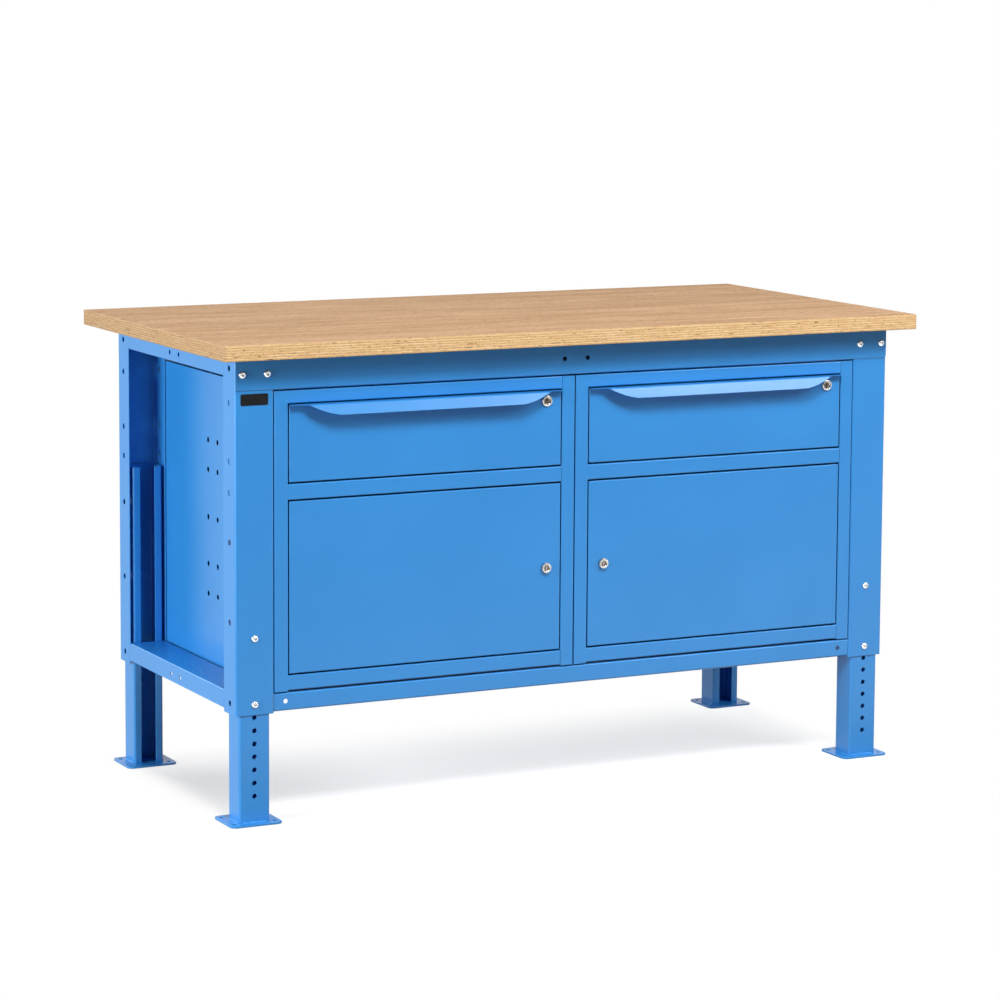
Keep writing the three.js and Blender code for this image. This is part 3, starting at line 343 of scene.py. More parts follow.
# %% Section and sweep
BEND_STEPS = 6
ROUND_SIDES = 24


def folded_outline(path, sheet, bend):
    """The outline of a sheet folded along a path of corners. The sheet lies to the left of the path."""
    corners = [Vector(point) for point in path]
    headings = [(after - before).normalized() for before, after in zip(corners, corners[1:])]
    lefts = [Vector((-heading.y, heading.x)) for heading in headings]
    near = [corners[0]]
    far = [corners[0] + lefts[0] * sheet]
    for corner, before, after, left in zip(corners[1:-1], headings, headings[1:], lefts):
        turn = math.atan2(before.x * after.y - before.y * after.x, before.dot(after))
        near_radius, far_radius = (bend + sheet, bend) if turn > 0 else (bend, bend + sheet)
        start = corner - before * near_radius * math.tan(abs(turn) / 2)
        centre = start + left * math.copysign(near_radius, turn)
        spoke = (start - centre) / near_radius
        for step in range(BEND_STEPS + 1):
            out = Matrix.Rotation(turn * step / BEND_STEPS, 2) @ spoke
            near.append(centre + out * near_radius)
            far.append(centre + out * far_radius)
    near.append(corners[-1])
    far.append(corners[-1] + lefts[-1] * sheet)
    return near + far[::-1]


def add_sweep(mesh, outline, axis, start, end):
    """Draws an outline out along x, y or z. Its points are (y, z), (x, z) or (x, y)."""
    order = {"x": lambda a, b, c: (c, a, b), "y": lambda a, b, c: (a, c, b), "z": lambda a, b, c: (a, b, c)}
    rings = [[mesh.verts.new(Vector(order[axis](a, b, along)) * MM) for a, b in outline] for along in (start, end)]
    for ring in rings:
        mesh.faces.new(ring)
    count = len(outline)
    for i in range(count):
        j = (i + 1) % count
        mesh.faces.new((rings[0][i], rings[0][j], rings[1][j], rings[1][i]))


def add_block(mesh, low, high):
    """A box from its lowest to its highest corner."""
    outline = [(low[0], low[1]), (high[0], low[1]), (high[0], high[1]), (low[0], high[1])]
    add_sweep(mesh, outline, "z", low[2], high[2])


def add_rod(mesh, axis, centre, diameter, length, sides=ROUND_SIDES):
    """A round bar along an axis, centred at a point; also used as a drill."""
    turns = {"x": ("Y", 90), "y": ("X", 90), "z": ("Z", 0)}
    about, degrees = turns[axis]
    place = Matrix.Translation(Vector(centre) * MM) @ Matrix.Rotation(math.radians(degrees), 4, about)
    radius = diameter / 2 * MM
    bmesh.ops.create_cone(mesh, cap_ends=True, segments=sides, radius1=radius, radius2=radius,
                          depth=length * MM, matrix=place)


def add_turned(mesh, profile, x, z, sides=32):
    """Turns a profile of (radius, y) points about a line along Y. A profile off the axis closes on itself."""
    rings = []
    for radius, y in profile:
        angles = [math.tau * k / sides for k in range(sides if radius > 0 else 1)]
        rings.append([mesh.verts.new(Vector((x + radius * math.sin(a), y, z + radius * math.cos(a))) * MM)
                      for a in angles])
    pairs = list(zip(rings, rings[1:]))
    if profile[0][0] > 0:
        pairs.append((rings[-1], rings[0]))
    for one, two in pairs:
        for k in range(sides):
            quad = [ring[i % len(ring)] for ring, i in ((one, k), (one, k + 1), (two, k + 1), (two, k))]
            mesh.faces.new(list(dict.fromkeys(quad)))


print("tools for sheet: ready")

# %% [markdown]
# ## Tools for whole pieces
# A piece starts as a bmesh and becomes an object. Holes are drilled with an exact Boolean, so that they
# are true holes and one can look through them. Every piece then gets a small bevel with weighted
# normals, because no coated edge is perfectly sharp. Last, `dress` gives the piece its finish, hangs it
# on the body that carries it and hides the solids of the frame that it stands for.

# %% Piece, carve, soften, dress
def box_mm(node):
    """The lowest and highest corners of a solid of the frame, in millimetres."""
    low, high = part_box(node)
    return low / MM, high / MM


def new_piece(name, mesh):
    """Turns a bmesh into an object with its faces pointing out."""
    bmesh.ops.recalc_face_normals(mesh, faces=mesh.faces)
    data = bpy.data.meshes.new(name)
    mesh.to_mesh(data)
    mesh.free()
    piece = bpy.data.objects.new(name, data)
    bpy.context.scene.collection.objects.link(piece)
    return piece


def settle(piece):
    """Makes the result of a piece's modifiers its mesh."""
    graph = bpy.context.evaluated_depsgraph_get()
    shaped = bpy.data.meshes.new_from_object(piece.evaluated_get(graph))
    blank = piece.data
    piece.modifiers.clear()
    piece.data = shaped
    bpy.data.meshes.remove(blank)
    shaped.name = piece.name


def carve(piece, tool_mesh, how="DIFFERENCE"):
    """Cuts a piece with drills or saws, or joins a second lump to it."""
    tool = new_piece("tool", tool_mesh)
    saw = piece.modifiers.new("saw", "BOOLEAN")
    saw.operation = how
    saw.solver = "EXACT"
    saw.object = tool
    settle(piece)
    data = tool.data
    bpy.data.objects.remove(tool)
    bpy.data.meshes.remove(data)


def soften(piece, width=0.4, segments=2, angle=40):
    """Breaks the sharp edges and evens the shading of the flat faces."""
    edge = piece.modifiers.new("broken_edges", "BEVEL")
    edge.width = width * MM
    edge.segments = segments
    edge.limit_method = "ANGLE"
    edge.angle_limit = math.radians(angle)
    edge.miter_outer = "MITER_ARC"
    join = piece.modifiers.new("joined_corners", "WELD")
    join.merge_threshold = width / 12 * MM
    even = piece.modifiers.new("even_faces", "WEIGHTED_NORMAL")
    even.keep_sharp = True
    piece.data.shade_smooth()


def dress(piece, finish, body, slot, *nodes):
    """Gives a piece its finish and its body, and hides the solids that it stands for. The slot is not used."""
    piece.data.materials.append(finish)
    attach(piece, body)
    if nodes:
        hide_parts(*nodes)


print("tools for pieces: ready")

# %% [markdown]
# ## Worktop
# One plywood board with a slight round on its edges from the sander. A box with bevelled edges is
# enough, and its faces are sorted by direction: upper and lower faces get the veneer, and the four
# sides get the sawn plies.

# %% Worktop board
BOARD_ROUND = 1.6
low, high = box_mm("worktop")
mesh = bmesh.new()
add_block(mesh, low, high)
bmesh.ops.bevel(mesh, geom=list(mesh.edges), offset=BOARD_ROUND * MM, segments=4, profile=0.5, affect="EDGES")
board = new_piece("worktop_board", mesh)
dress(board, plywood_face, "frame", "plywood", "worktop")
board.data.materials.append(plywood_edge)
for face in board.data.polygons:
    face.material_index = 0 if abs(face.normal.z) > 0.6 else 1
board.data.shade_smooth()
even = board.modifiers.new("even_faces", "WEIGHTED_NORMAL")
print("worktop:", len(board.data.polygons), "faces")

# %% [markdown]
# ## Uprights
# Four C channels stand at the corners with their webs outwards. Both flanges carry a row of round holes
# for hooks and shelves, and the webs have the bolt holes. Each channel is one folded section, swept up
# and drilled, and a loop makes the four from the places that the frame gives.

# %% Upright channels
FRAME_SHEET = 2
FRAME_BEND = 2
BOLT_HOLE = 9
FLANGE_HOLE_SETBACK = 28
FLANGE_HOLE = 11.5
FLANGE_HOLE_DROPS = [20, 84, 194, 253, 346, 497, 650]
LEG_BOLT_HEIGHTS = [229, 354]
RAIL_BOLT_DROP = 30
RAIL_BOLT_SPACING = 50
CORNERS = [(face, side) for face in ("front", "rear") for side in ("left", "right")]
frame_top = box_mm("front_top_rail")[1].z
rail_bolt_z = frame_top - RAIL_BOLT_DROP


def upright_place(face, side):
    """Where an upright stands: its middle, its outer face, the way inwards and its box."""
    low, high = box_mm(f"{face}_{side}_upright")
    middle = (low.x + high.x) / 2
    return (middle, low.y, 1, low, high) if face == "front" else (middle, high.y, -1, low, high)


def at_corner(outline, middle, outer, inward):
    """Maps a section drawn as (across, inwards) to plan coordinates at one corner of the frame."""
    return [(middle + across, outer + inward * depth) for across, depth in outline]


for face, side in CORNERS:
    middle, outer, inward, low, high = upright_place(face, side)
    half = (high.x - low.x) / 2
    depth = high.y - low.y
    path = [(-half, depth), (-half, 0), (half, 0), (half, depth)]
    section = at_corner(folded_outline(path, FRAME_SHEET, FRAME_BEND), middle, outer, inward)
    mesh = bmesh.new()
    add_sweep(mesh, section, "z", low.z, high.z)
    channel = new_piece(f"{face}_{side}_channel", mesh)
    drills = bmesh.new()
    for drop in FLANGE_HOLE_DROPS:
        place = (middle, outer + inward * FLANGE_HOLE_SETBACK, frame_top - drop)
        add_rod(drills, "x", place, FLANGE_HOLE, 3 * half)
    for z in LEG_BOLT_HEIGHTS:
        add_rod(drills, "y", (middle, outer, z), BOLT_HOLE, 4 * FRAME_SHEET)
    for sign in (-1, 1):
        add_rod(drills, "y", (middle + sign * RAIL_BOLT_SPACING / 2, outer, rail_bolt_z), BOLT_HOLE, 4 * FRAME_SHEET)
    carve(channel, drills)
    soften(channel)
    dress(channel, powder_coat, "frame", "blue_coat", f"{face}_{side}_upright")
print("uprights:", len(CORNERS))

# %% [markdown]
# ## Feet
# A lipped channel slides up inside each upright and sets the bench's height, one row of holes at 25 mm.
# It stands on a plate that can be bolted to the floor. The weld between them is a low ripple of melted
# steel under the paint, so it is a bead whose radius swells and sinks along its run.

# %% Foot channels, plates and welds
FOOT_WIDTH = 62
FOOT_DEPTH = 54
FOOT_LIP = 15.5
FOOT_SHEET = 2.5
FOOT_SETBACK = 2.3
FOOT_HOLE = 9.5
FOOT_FIRST_HOLE = 54
FOOT_HOLE_PITCH = 25
FOOT_HOLE_COUNT = 16
PLATE_THICKNESS = 4
PLATE_CORNER = 12
PLATE_HOLE = 9
PLATE_HOLE_SPACING = (80, 62)
BEAD_RADIUS = 2.2
BEAD_RIPPLE = 0.25
BEAD_PITCH = 3.5
CORNER_STEPS = 6


def rounded_rectangle(a0, a1, b0, b1, radius):
    """The outline of a rectangle with round corners."""
    centres = [(a1 - radius, b1 - radius), (a0 + radius, b1 - radius),
               (a0 + radius, b0 + radius), (a1 - radius, b0 + radius)]
    outline = []
    for quarter, (a, b) in enumerate(centres):
        for step in range(CORNER_STEPS + 1):
            angle = (quarter + step / CORNER_STEPS) * math.pi / 2
            outline.append((a + radius * math.cos(angle), b + radius * math.sin(angle)))
    return outline


def add_bead(mesh, start, end):
    """A weld bead from one point to another, with ripples and closed round ends."""
    start, end = Vector(start), Vector(end)
    run = (end - start).normalized()
    side = run.orthogonal().normalized()
    steps = max(8, int((end - start).length / BEAD_PITCH * 4))
    rings = []
    for step in range(steps + 1):
        share = step / steps
        taper = min(1, math.sin(math.pi * share) * steps / 8)
        radius = taper * (BEAD_RADIUS + BEAD_RIPPLE * math.sin(math.tau * share * (end - start).length / BEAD_PITCH))
        centre = start.lerp(end, share)
        count = 10 if radius > 0.01 else 1
        rings.append([mesh.verts.new((centre + Matrix.Rotation(math.tau * k / 10, 3, run) @ side * radius) * MM)
                      for k in range(count)])
    for one, two in zip(rings, rings[1:]):
        for k in range(10):
            quad = [ring[i % len(ring)] for ring, i in ((one, k), (one, k + 1), (two, k + 1), (two, k))]
            mesh.faces.new(list(dict.fromkeys(quad)))


for face, side in CORNERS:
    middle, outer, inward, *_ = upright_place(face, side)
    low, high = box_mm(f"{face}_{side}_foot")
    front = outer + inward * FOOT_SETBACK
    half = FOOT_WIDTH / 2
    path = [(-half + FOOT_LIP, FOOT_DEPTH), (-half, FOOT_DEPTH), (-half, 0),
            (half, 0), (half, FOOT_DEPTH), (half - FOOT_LIP, FOOT_DEPTH)]
    section = at_corner(folded_outline(path, FOOT_SHEET, FRAME_BEND), middle, front, inward)
    mesh = bmesh.new()
    add_sweep(mesh, section, "z", PLATE_THICKNESS - 0.2, high.z)
    channel = new_piece(f"{face}_{side}_foot_channel", mesh)
    drills = bmesh.new()
    for hole in range(FOOT_HOLE_COUNT):
        add_rod(drills, "y", (middle, front, FOOT_FIRST_HOLE + hole * FOOT_HOLE_PITCH), FOOT_HOLE, 4 * FOOT_SHEET)
    carve(channel, drills)
    soften(channel)
    mesh = bmesh.new()
    add_sweep(mesh, rounded_rectangle(low.x, high.x, low.y, high.y, PLATE_CORNER), "z", 0, PLATE_THICKNESS)
    plate = new_piece(f"{face}_{side}_foot_plate", mesh)
    drills = bmesh.new()
    for sign_x in (-1, 1):
        for sign_y in (-1, 1):
            place = (middle + sign_x * PLATE_HOLE_SPACING[0] / 2,
                     (low.y + high.y) / 2 + sign_y * PLATE_HOLE_SPACING[1] / 2, 0)
            add_rod(drills, "z", place, PLATE_HOLE, 4 * PLATE_THICKNESS)
    carve(plate, drills)
    soften(plate, width=0.6)
    mesh = bmesh.new()
    near, away = front + inward * 5, front + inward * (FOOT_DEPTH - 5)
    for sign in (-1, 1):
        add_bead(mesh, (middle + sign * half, near, PLATE_THICKNESS), (middle + sign * half, away, PLATE_THICKNESS))
    add_bead(mesh, (middle - half + 5, front, PLATE_THICKNESS), (middle + half - 5, front, PLATE_THICKNESS))
    bead = new_piece(f"{face}_{side}_foot_weld", mesh)
    bead.data.shade_smooth()
    for piece in (channel, plate, bead):
        dress(piece, powder_coat, "frame", "blue_coat", f"{face}_{side}_foot")
print("feet:", len(CORNERS), "with", FOOT_HOLE_COUNT, "height holes each")

# %% [markdown]
# ## Long rails
# The top rails are bolted over the uprights' webs and carry the worktop. Their lower corners are
# rounded, and their lower flange stops between the uprights. The lower rails sit between the uprights
# and carry the cabinets. All four are folded sections along X, drilled and notched.

# %% Top and lower rails
RAIL_HOLE = 9
CABLE_HOLE_SPACING = 50
TOP_RAIL_FLANGE = 45
TOP_RAIL_LOWER_FLANGE = 22
TOP_RAIL_CORNER = 6
TOP_RAIL_DROP = 1.2  # the rail's lower edge hangs a little lower, which narrows the dark gap below it
LOWER_RAIL_FLANGE = 32
LOWER_RAIL_HOLE_INSET = 23.7
LOWER_RAIL_DROP = 1.8  # the lower rail stays a little lower, which shows as a dark line under the cabinets
SEAT_GAP = 0.3
JOINT_FILL = 0.25  # the coat closes the joint between a rail's end and the upright
upright_low, upright_high = box_mm("front_right_upright")
upright_middle = (upright_low.x + upright_high.x) / 2
bay_end = upright_low.x


def along_x(path, outer, inward, bottom):
    """A folded section drawn as (inwards, upwards), mapped to (y, z) for a rail along X."""
    return [(outer + inward * depth, bottom + up) for depth, up in folded_outline(path, FRAME_SHEET, FRAME_BEND)]


for face, inward in (("front", 1), ("rear", -1)):
    low, high = box_mm(f"{face}_top_rail")
    low.z -= TOP_RAIL_DROP
    outer = low.y if inward > 0 else high.y
    height = high.z - low.z
    path = [(TOP_RAIL_FLANGE, height), (0, height), (0, 0), (TOP_RAIL_LOWER_FLANGE, 0)]
    mesh = bmesh.new()
    add_sweep(mesh, along_x(path, outer, inward, low.z), "x", low.x, high.x)
    rail = new_piece(f"{face}_top_beam", mesh)
    saws = bmesh.new()
    for sign in (-1, 1):
        behind = sorted((outer + inward * FRAME_SHEET, outer + inward * 2 * TOP_RAIL_FLANGE))
        across = sorted((sign * (bay_end - SEAT_GAP), sign * (high.x + FRAME_SHEET)))
        add_block(saws, (across[0], behind[0], low.z - FRAME_SHEET),
                  (across[1], behind[1], upright_high.z + SEAT_GAP))
    carve(rail, saws)
    drills = bmesh.new()
    for sign in (-1, 1):
        corner = [(sign * (high.x + FRAME_SHEET), low.z - FRAME_SHEET),
                  (sign * (high.x - TOP_RAIL_CORNER), low.z - FRAME_SHEET)]
        for step in range(CORNER_STEPS + 1):
            angle = step / CORNER_STEPS * math.pi / 2
            corner.append((sign * (high.x - TOP_RAIL_CORNER * (1 - math.sin(angle))),
                           low.z + TOP_RAIL_CORNER * (1 - math.cos(angle))))
        corner.append((sign * (high.x + FRAME_SHEET), low.z + TOP_RAIL_CORNER))
        add_sweep(drills, corner, "y", outer - 4 * FRAME_SHEET, outer + 4 * FRAME_SHEET)
        xs = [sign * CABLE_HOLE_SPACING / 2]
        xs += [sign * upright_middle + offset * RAIL_BOLT_SPACING / 2 for offset in (-1, 1)]
        for x in xs:
            add_rod(drills, "y", (x, outer, rail_bolt_z), RAIL_HOLE, 4 * FRAME_SHEET)
    carve(rail, drills)
    soften(rail)
    dress(rail, powder_coat, "frame", "blue_coat", f"{face}_top_rail")

    low, high = box_mm(f"{face}_lower_rail")
    outer = low.y if inward > 0 else high.y
    height = high.z - low.z - LOWER_RAIL_DROP
    path = [(high.y - low.y, height), (0, height), (0, 0), (LOWER_RAIL_FLANGE, 0)]
    mesh = bmesh.new()
    add_sweep(mesh, along_x(path, outer, inward, low.z), "x", low.x - JOINT_FILL, high.x + JOINT_FILL)
    rail = new_piece(f"{face}_lower_beam", mesh)
    drills = bmesh.new()
    for x in (low.x + LOWER_RAIL_HOLE_INSET, high.x - LOWER_RAIL_HOLE_INSET):
        add_rod(drills, "y", (x, outer, (low.z + high.z) / 2), RAIL_HOLE, 4 * FRAME_SHEET)
    carve(rail, drills)
    soften(rail)
    dress(rail, powder_coat, "frame", "blue_coat", f"{face}_lower_rail")
print("long rails: 4")

# %% [markdown]
# ## End rails
# At each end a top rail with a lip and a lower rail, an upturned trough, tie the front upright to the
# rear one. They are welded to the uprights, so only their two cable holes are drilled. The lower rail's
# top also shows three small plug welds, ground almost flush, made as very low turned buttons.

# %% End rails
END_HOLE_SPACING = 46
END_HOLE_DROP = 20
LOWER_END_HOLE_RISE = 14.5
TOP_END_LIP = 20
PLUG_WELD_DIAMETER = 8
PLUG_WELD_HEIGHT = 0.7
PLUG_WELD_INSET = 34
PLUG_WELD_PLACES = [7, -35, -78]


def along_y(path, outer, inward, bottom):
    """A folded section drawn as (inwards, upwards), mapped to (x, z) for a rail along Y."""
    return [(outer + inward * depth, bottom + up) for depth, up in folded_outline(path, FRAME_SHEET, FRAME_BEND)]


for side, sign in (("left", -1), ("right", 1)):
    for part in ("top", "lower"):
        low, high = box_mm(f"{side}_{part}_end_rail")
        outer = low.x if sign < 0 else high.x
        width = high.x - low.x
        height = high.z - low.z
        if part == "top":
            path = [(width, height), (0, height), (0, 0), (TOP_END_LIP, 0)]
            hole_z = frame_top - END_HOLE_DROP
        else:
            path = [(width, 0), (width, height), (0, height), (0, 0)]
            hole_z = low.z + LOWER_END_HOLE_RISE
        mesh = bmesh.new()
        add_sweep(mesh, along_y(path, outer, -sign, low.z), "y", low.y, high.y)
        rail = new_piece(f"{side}_{part}_end_beam", mesh)
        drills = bmesh.new()
        for offset in (-1, 1):
            place = (outer, (low.y + high.y) / 2 + offset * END_HOLE_SPACING / 2, hole_z)
            add_rod(drills, "x", place, RAIL_HOLE, 4 * FRAME_SHEET)
        carve(rail, drills)
        if part == "lower":
            buttons = bmesh.new()
            for y in PLUG_WELD_PLACES:
                place = (outer - sign * PLUG_WELD_INSET, y, high.z)
                add_rod(buttons, "z", place, PLUG_WELD_DIAMETER, 2 * PLUG_WELD_HEIGHT)
            carve(rail, buttons, how="UNION")
        soften(rail)
        dress(rail, powder_coat, "frame", "blue_coat", f"{side}_{part}_end_rail")
print("end rails: 4")

# %% [markdown]
# ## Bolts
# Button-head bolts with a hexagon socket hold the rails and the feet, each pair in one painted nut
# strip behind the sheets. The domed head is turned from an elliptical profile and the socket is cut
# into it, because the dark hexagon is what one sees of a bolt from a step away.

# %% Bolt pairs
BOLT_DIAMETER = 8
HEAD_DIAMETER = 14
HEAD_HEIGHT = 4.2
SOCKET_WIDTH = 6
SOCKET_DEPTH = 3.4
STRIP_THICKNESS = 5
DOME_STEPS = 7


def bolt_blank(reach):
    """A bolt along +Y with its head's seat at the origin, as a mesh."""
    mesh = bmesh.new()
    profile = [(0, -HEAD_HEIGHT)]
    for step in range(1, DOME_STEPS + 1):
        angle = math.pi / 2 * (1 - step / DOME_STEPS)
        profile.append((HEAD_DIAMETER / 2 * math.cos(angle), -HEAD_HEIGHT * math.sin(angle)))
    profile += [(BOLT_DIAMETER / 2, 0), (BOLT_DIAMETER / 2, reach), (0, reach)]
    add_turned(mesh, profile, 0, 0)
    blank = new_piece("bolt", mesh)
    socket = bmesh.new()
    across_corners = SOCKET_WIDTH / math.cos(math.pi / 6)
    add_rod(socket, "y", (0, -HEAD_HEIGHT, 0), across_corners, 2 * SOCKET_DEPTH, sides=6)
    carve(blank, socket)
    return blank


for face, side in CORNERS:
    for kind in ("rail", "leg"):
        node = f"{face}_{side}_{kind}_bolts"
        low, high = box_mm(node)
        inward = 1 if face == "front" else -1
        tip = low.y if inward > 0 else high.y
        strip_back = high.y if inward > 0 else low.y
        seat = tip + inward * HEAD_HEIGHT
        strip_front = strip_back - inward * STRIP_THICKNESS
        middle = upright_place(face, side)[0]
        places = [(middle, z) for z in LEG_BOLT_HEIGHTS]
        if kind == "rail":
            places = [(middle + offset * RAIL_BOLT_SPACING / 2, rail_bolt_z) for offset in (-1, 1)]
        mesh = bmesh.new()
        depths = sorted((strip_front, strip_back))
        add_block(mesh, (low.x, depths[0], low.z), (high.x, depths[1], high.z))
        strip = new_piece(f"{face}_{side}_{kind}_nut_strip", mesh)
        soften(strip, width=0.5)
        dress(strip, powder_coat, "frame", "zinc", node)
        mesh = bmesh.new()
        blank = bolt_blank(abs(strip_front - seat) + SEAT_GAP)
        for x, z in places:
            before = set(mesh.verts)
            mesh.from_mesh(blank.data)
            turn = Matrix.Rotation(0 if inward > 0 else math.pi, 4, "Z")
            place = Matrix.Translation(Vector((x, seat, z)) * MM) @ turn
            bmesh.ops.transform(mesh, matrix=place, verts=[v for v in mesh.verts if v not in before])
        bolts = new_piece(f"{face}_{side}_{kind}_bolt_pair", mesh)
        soften(bolts, width=0.25)
        dress(bolts, zinc, "frame", "zinc", node)
        bpy.data.objects.remove(blank)
print("bolts:", 2 * 2 * len(CORNERS))

# %% [markdown]
# ## Cabinet shells
# Each cabinet is a wrapper of thin sheet: back, sides, and narrow stiles folded in at the front with a
# return edge. A floor and a roof plate are welded in, and the outer side has pairs of holes for hooks.
# The wrapper is one folded section swept up and drilled, and the plates are thin blocks inside it. The
# outer side also reaches down as a short hem, and narrow strips stand on the roof, under the floor and
# between the cabinets, a little way in, so that no light comes through the slits around the cabinets.

# %% Cabinet walls, floors and roofs
CABINET_SHEET = 1.2
CABINET_BEND = 1.3
STILE_WIDTH = 28
STILE_RETURN = 14
PLATE_LAP = 0.3
SIDE_HOLE = 10.5
SIDE_HOLE_SPACING = 48
SIDE_HOLE_DROPS = [131, 189, 282, 374, 433]
HEM_HEIGHT = 8
HEM_FROM_RAIL = 12
STRIP_HEIGHT = 6
STRIP_THICKNESS = 2
STRIP_SETBACK = 24
CABINETS = [("left", -1), ("right", 1)]
frame_middle_y = (upright_low.y + box_mm("rear_right_upright")[1].y) / 2

for side, sign in CABINETS:
    low, high = box_mm(f"{side}_cabinet_shell")
    centre = (low.x + high.x) / 2
    half = (high.x - low.x) / 2
    depth = high.y - low.y
    stile = half - STILE_WIDTH
    path = [(stile, STILE_RETURN), (stile, 0), (half, 0), (half, depth),
            (-half, depth), (-half, 0), (-stile, 0), (-stile, STILE_RETURN)]
    section = at_corner(folded_outline(path, CABINET_SHEET, CABINET_BEND), centre, low.y, 1)
    mesh = bmesh.new()
    add_sweep(mesh, section, "z", low.z, high.z)
    walls = new_piece(f"{side}_cabinet_walls", mesh)
    drills = bmesh.new()
    for drop in SIDE_HOLE_DROPS:
        for offset in (-1, 1):
            place = (centre + sign * half, frame_middle_y + offset * SIDE_HOLE_SPACING / 2, high.z - drop)
            add_rod(drills, "x", place, SIDE_HOLE, 4 * CABINET_SHEET)
    carve(walls, drills)
    pieces = [walls]
    for name, bottom in (("floor", low.z + CABINET_SHEET), ("roof", high.z - 2 * CABINET_SHEET)):
        inset = CABINET_SHEET - PLATE_LAP
        mesh = bmesh.new()
        add_block(mesh, (low.x + inset, low.y + STILE_RETURN + SEAT_GAP, bottom),
                  (high.x - inset, high.y - inset, bottom + CABINET_SHEET))
        pieces.append(new_piece(f"{side}_cabinet_{name}", mesh))
    outer = sorted((centre + sign * half, centre + sign * (half - CABINET_SHEET)))
    mesh = bmesh.new()
    add_block(mesh, (outer[0], box_mm("front_lower_rail")[1].y + HEM_FROM_RAIL, low.z - HEM_HEIGHT),
              (outer[1], box_mm("rear_lower_rail")[0].y - HEM_FROM_RAIL, low.z))
    roof_front = low.y + STRIP_SETBACK
    floor_front = box_mm("front_lower_rail")[1].y + SEAT_GAP
    for start, end, front, bottom, top in (
            (low.x, high.x, roof_front, high.z, high.z + STRIP_HEIGHT),
            (low.x, high.x, floor_front, low.z - STRIP_HEIGHT, low.z + SEAT_GAP),
            (*sorted((centre - sign * half, 0)), roof_front, low.z, high.z + STRIP_HEIGHT)):
        add_block(mesh, (start, front, bottom), (end, front + STRIP_THICKNESS, top))
    pieces.append(new_piece(f"{side}_cabinet_hem", mesh))
    for piece in pieces:
        soften(piece, width=0.25)
        dress(piece, powder_coat, "frame", "blue_coat", f"{side}_cabinet_shell")
print("cabinets:", len(CABINETS))

# %% [markdown]
# ## Cabinet front rails
# Three small channels are welded between the stiles: above the drawer, between drawer and door, and
# below the door. The welds are ground flush under the coat, so the face of each rail runs on over the
# stile's bend, and only its flanges stop short. A fine seam is left at the right end of each rail, and
# the bottom rail stops a little above the frame. The lower two rails are drilled for the pins.

# %% Cabinet rails
PIN_HOLE = 6.6
RAIL_SEAM = 0.9
BOTTOM_RAIL_RISE = 1.6
for side, sign in CABINETS:
    for part in ("top", "middle", "bottom"):
        low, high = box_mm(f"{side}_cabinet_{part}_rail")
        if part == "bottom":
            low.z += BOTTOM_RAIL_RISE
        height = high.z - low.z
        depth = high.y - low.y
        path = [(depth, height), (0, height), (0, 0), (depth, 0)]
        section = [(low.y + back, low.z + up) for back, up in folded_outline(path, CABINET_SHEET, CABINET_BEND)]
        flush = CABINET_SHEET + CABINET_BEND + SEAT_GAP
        mesh = bmesh.new()
        add_sweep(mesh, section, "x", low.x - flush, high.x + flush)
        rail = new_piece(f"{side}_cabinet_{part}_channel", mesh)
        saws = bmesh.new()
        for start, end in ((low.x - 2 * flush, low.x), (high.x, high.x + 2 * flush)):
            add_block(saws, (start, low.y + flush, low.z - 1), (end, high.y + 1, high.z + 1))
        carve(rail, saws)
        seam = bmesh.new()
        add_block(seam, (high.x, low.y - 1, low.z - 1), (high.x + RAIL_SEAM, low.y + 2 * flush, high.z + 1))
        carve(rail, seam)
        pin = {"middle": "upper", "bottom": "lower"}.get(part)
        if pin:
            pin_low, pin_high = box_mm(f"{side}_door_{pin}_hinge_pin")
            drills = bmesh.new()
            add_rod(drills, "z", (pin_low + pin_high) / 2, PIN_HOLE, 4 * CABINET_SHEET)
            carve(rail, drills)
        soften(rail, width=0.1)
        dress(rail, powder_coat, "frame", "blue_coat", f"{side}_cabinet_{part}_rail")
print("cabinet rails: 6")

# %% [markdown]
# ## Drawer fronts
# A drawer front is a shallow pan whose top edge comes forward as a ledge and turns down to a grip. The
# grip's ends sweep up in a curve to the ledge. The pan is a bevelled box opened at the back and given
# the sheet's thickness. The grip is folded like the other sheet, trimmed with curved saws and joined on.

# %% Pan and grip
PAN_DEPTH = 12
PAN_CORNER = 2
PAN_ROUND_STEPS = 5
LEDGE_REACH = 19
LEDGE_END_REACH = 12
GRIP_HEIGHT = 19.5
GRIP_SPLAY = 8
GRIP_BEND = 1.6
GRIP_TIP_INSET = 35
GRIP_TIP_SLOPE = 8
GRIP_CURVE_INSET = 74
GRIP_LOWER_INSET = 112
GRIP_CURVE_STEPS = 14
LOCK_HOLE = 16.6


def folded_pan(name, low, high):
    """A pan of thin sheet with its open side to the rear and rounded front edges."""
    mesh = bmesh.new()
    add_block(mesh, low, high)
    bmesh.ops.recalc_face_normals(mesh, faces=mesh.faces)
    rear = high[1] * MM
    at_rear = {v for v in mesh.verts if abs(v.co.y - rear) < 1e-7}
    folds = [e for e in mesh.edges if not at_rear.issuperset(e.verts)]
    bmesh.ops.bevel(mesh, geom=folds, offset=PAN_CORNER * MM, segments=PAN_ROUND_STEPS, profile=0.5,
                    affect="EDGES")
    lid = [f for f in mesh.faces if all(abs(v.co.y - rear) < 1e-7 for v in f.verts)]
    bmesh.ops.delete(mesh, geom=lid, context="FACES")
    pan = new_piece(name, mesh)
    front = min(pan.data.polygons, key=lambda face: face.center.y)
    if front.normal.y > 0:
        pan.data.flip_normals()
    wall = pan.modifiers.new("sheet", "SOLIDIFY")
    wall.thickness = CABINET_SHEET * MM
    wall.offset = -1
    wall.use_even_offset = True
    settle(pan)
    return pan


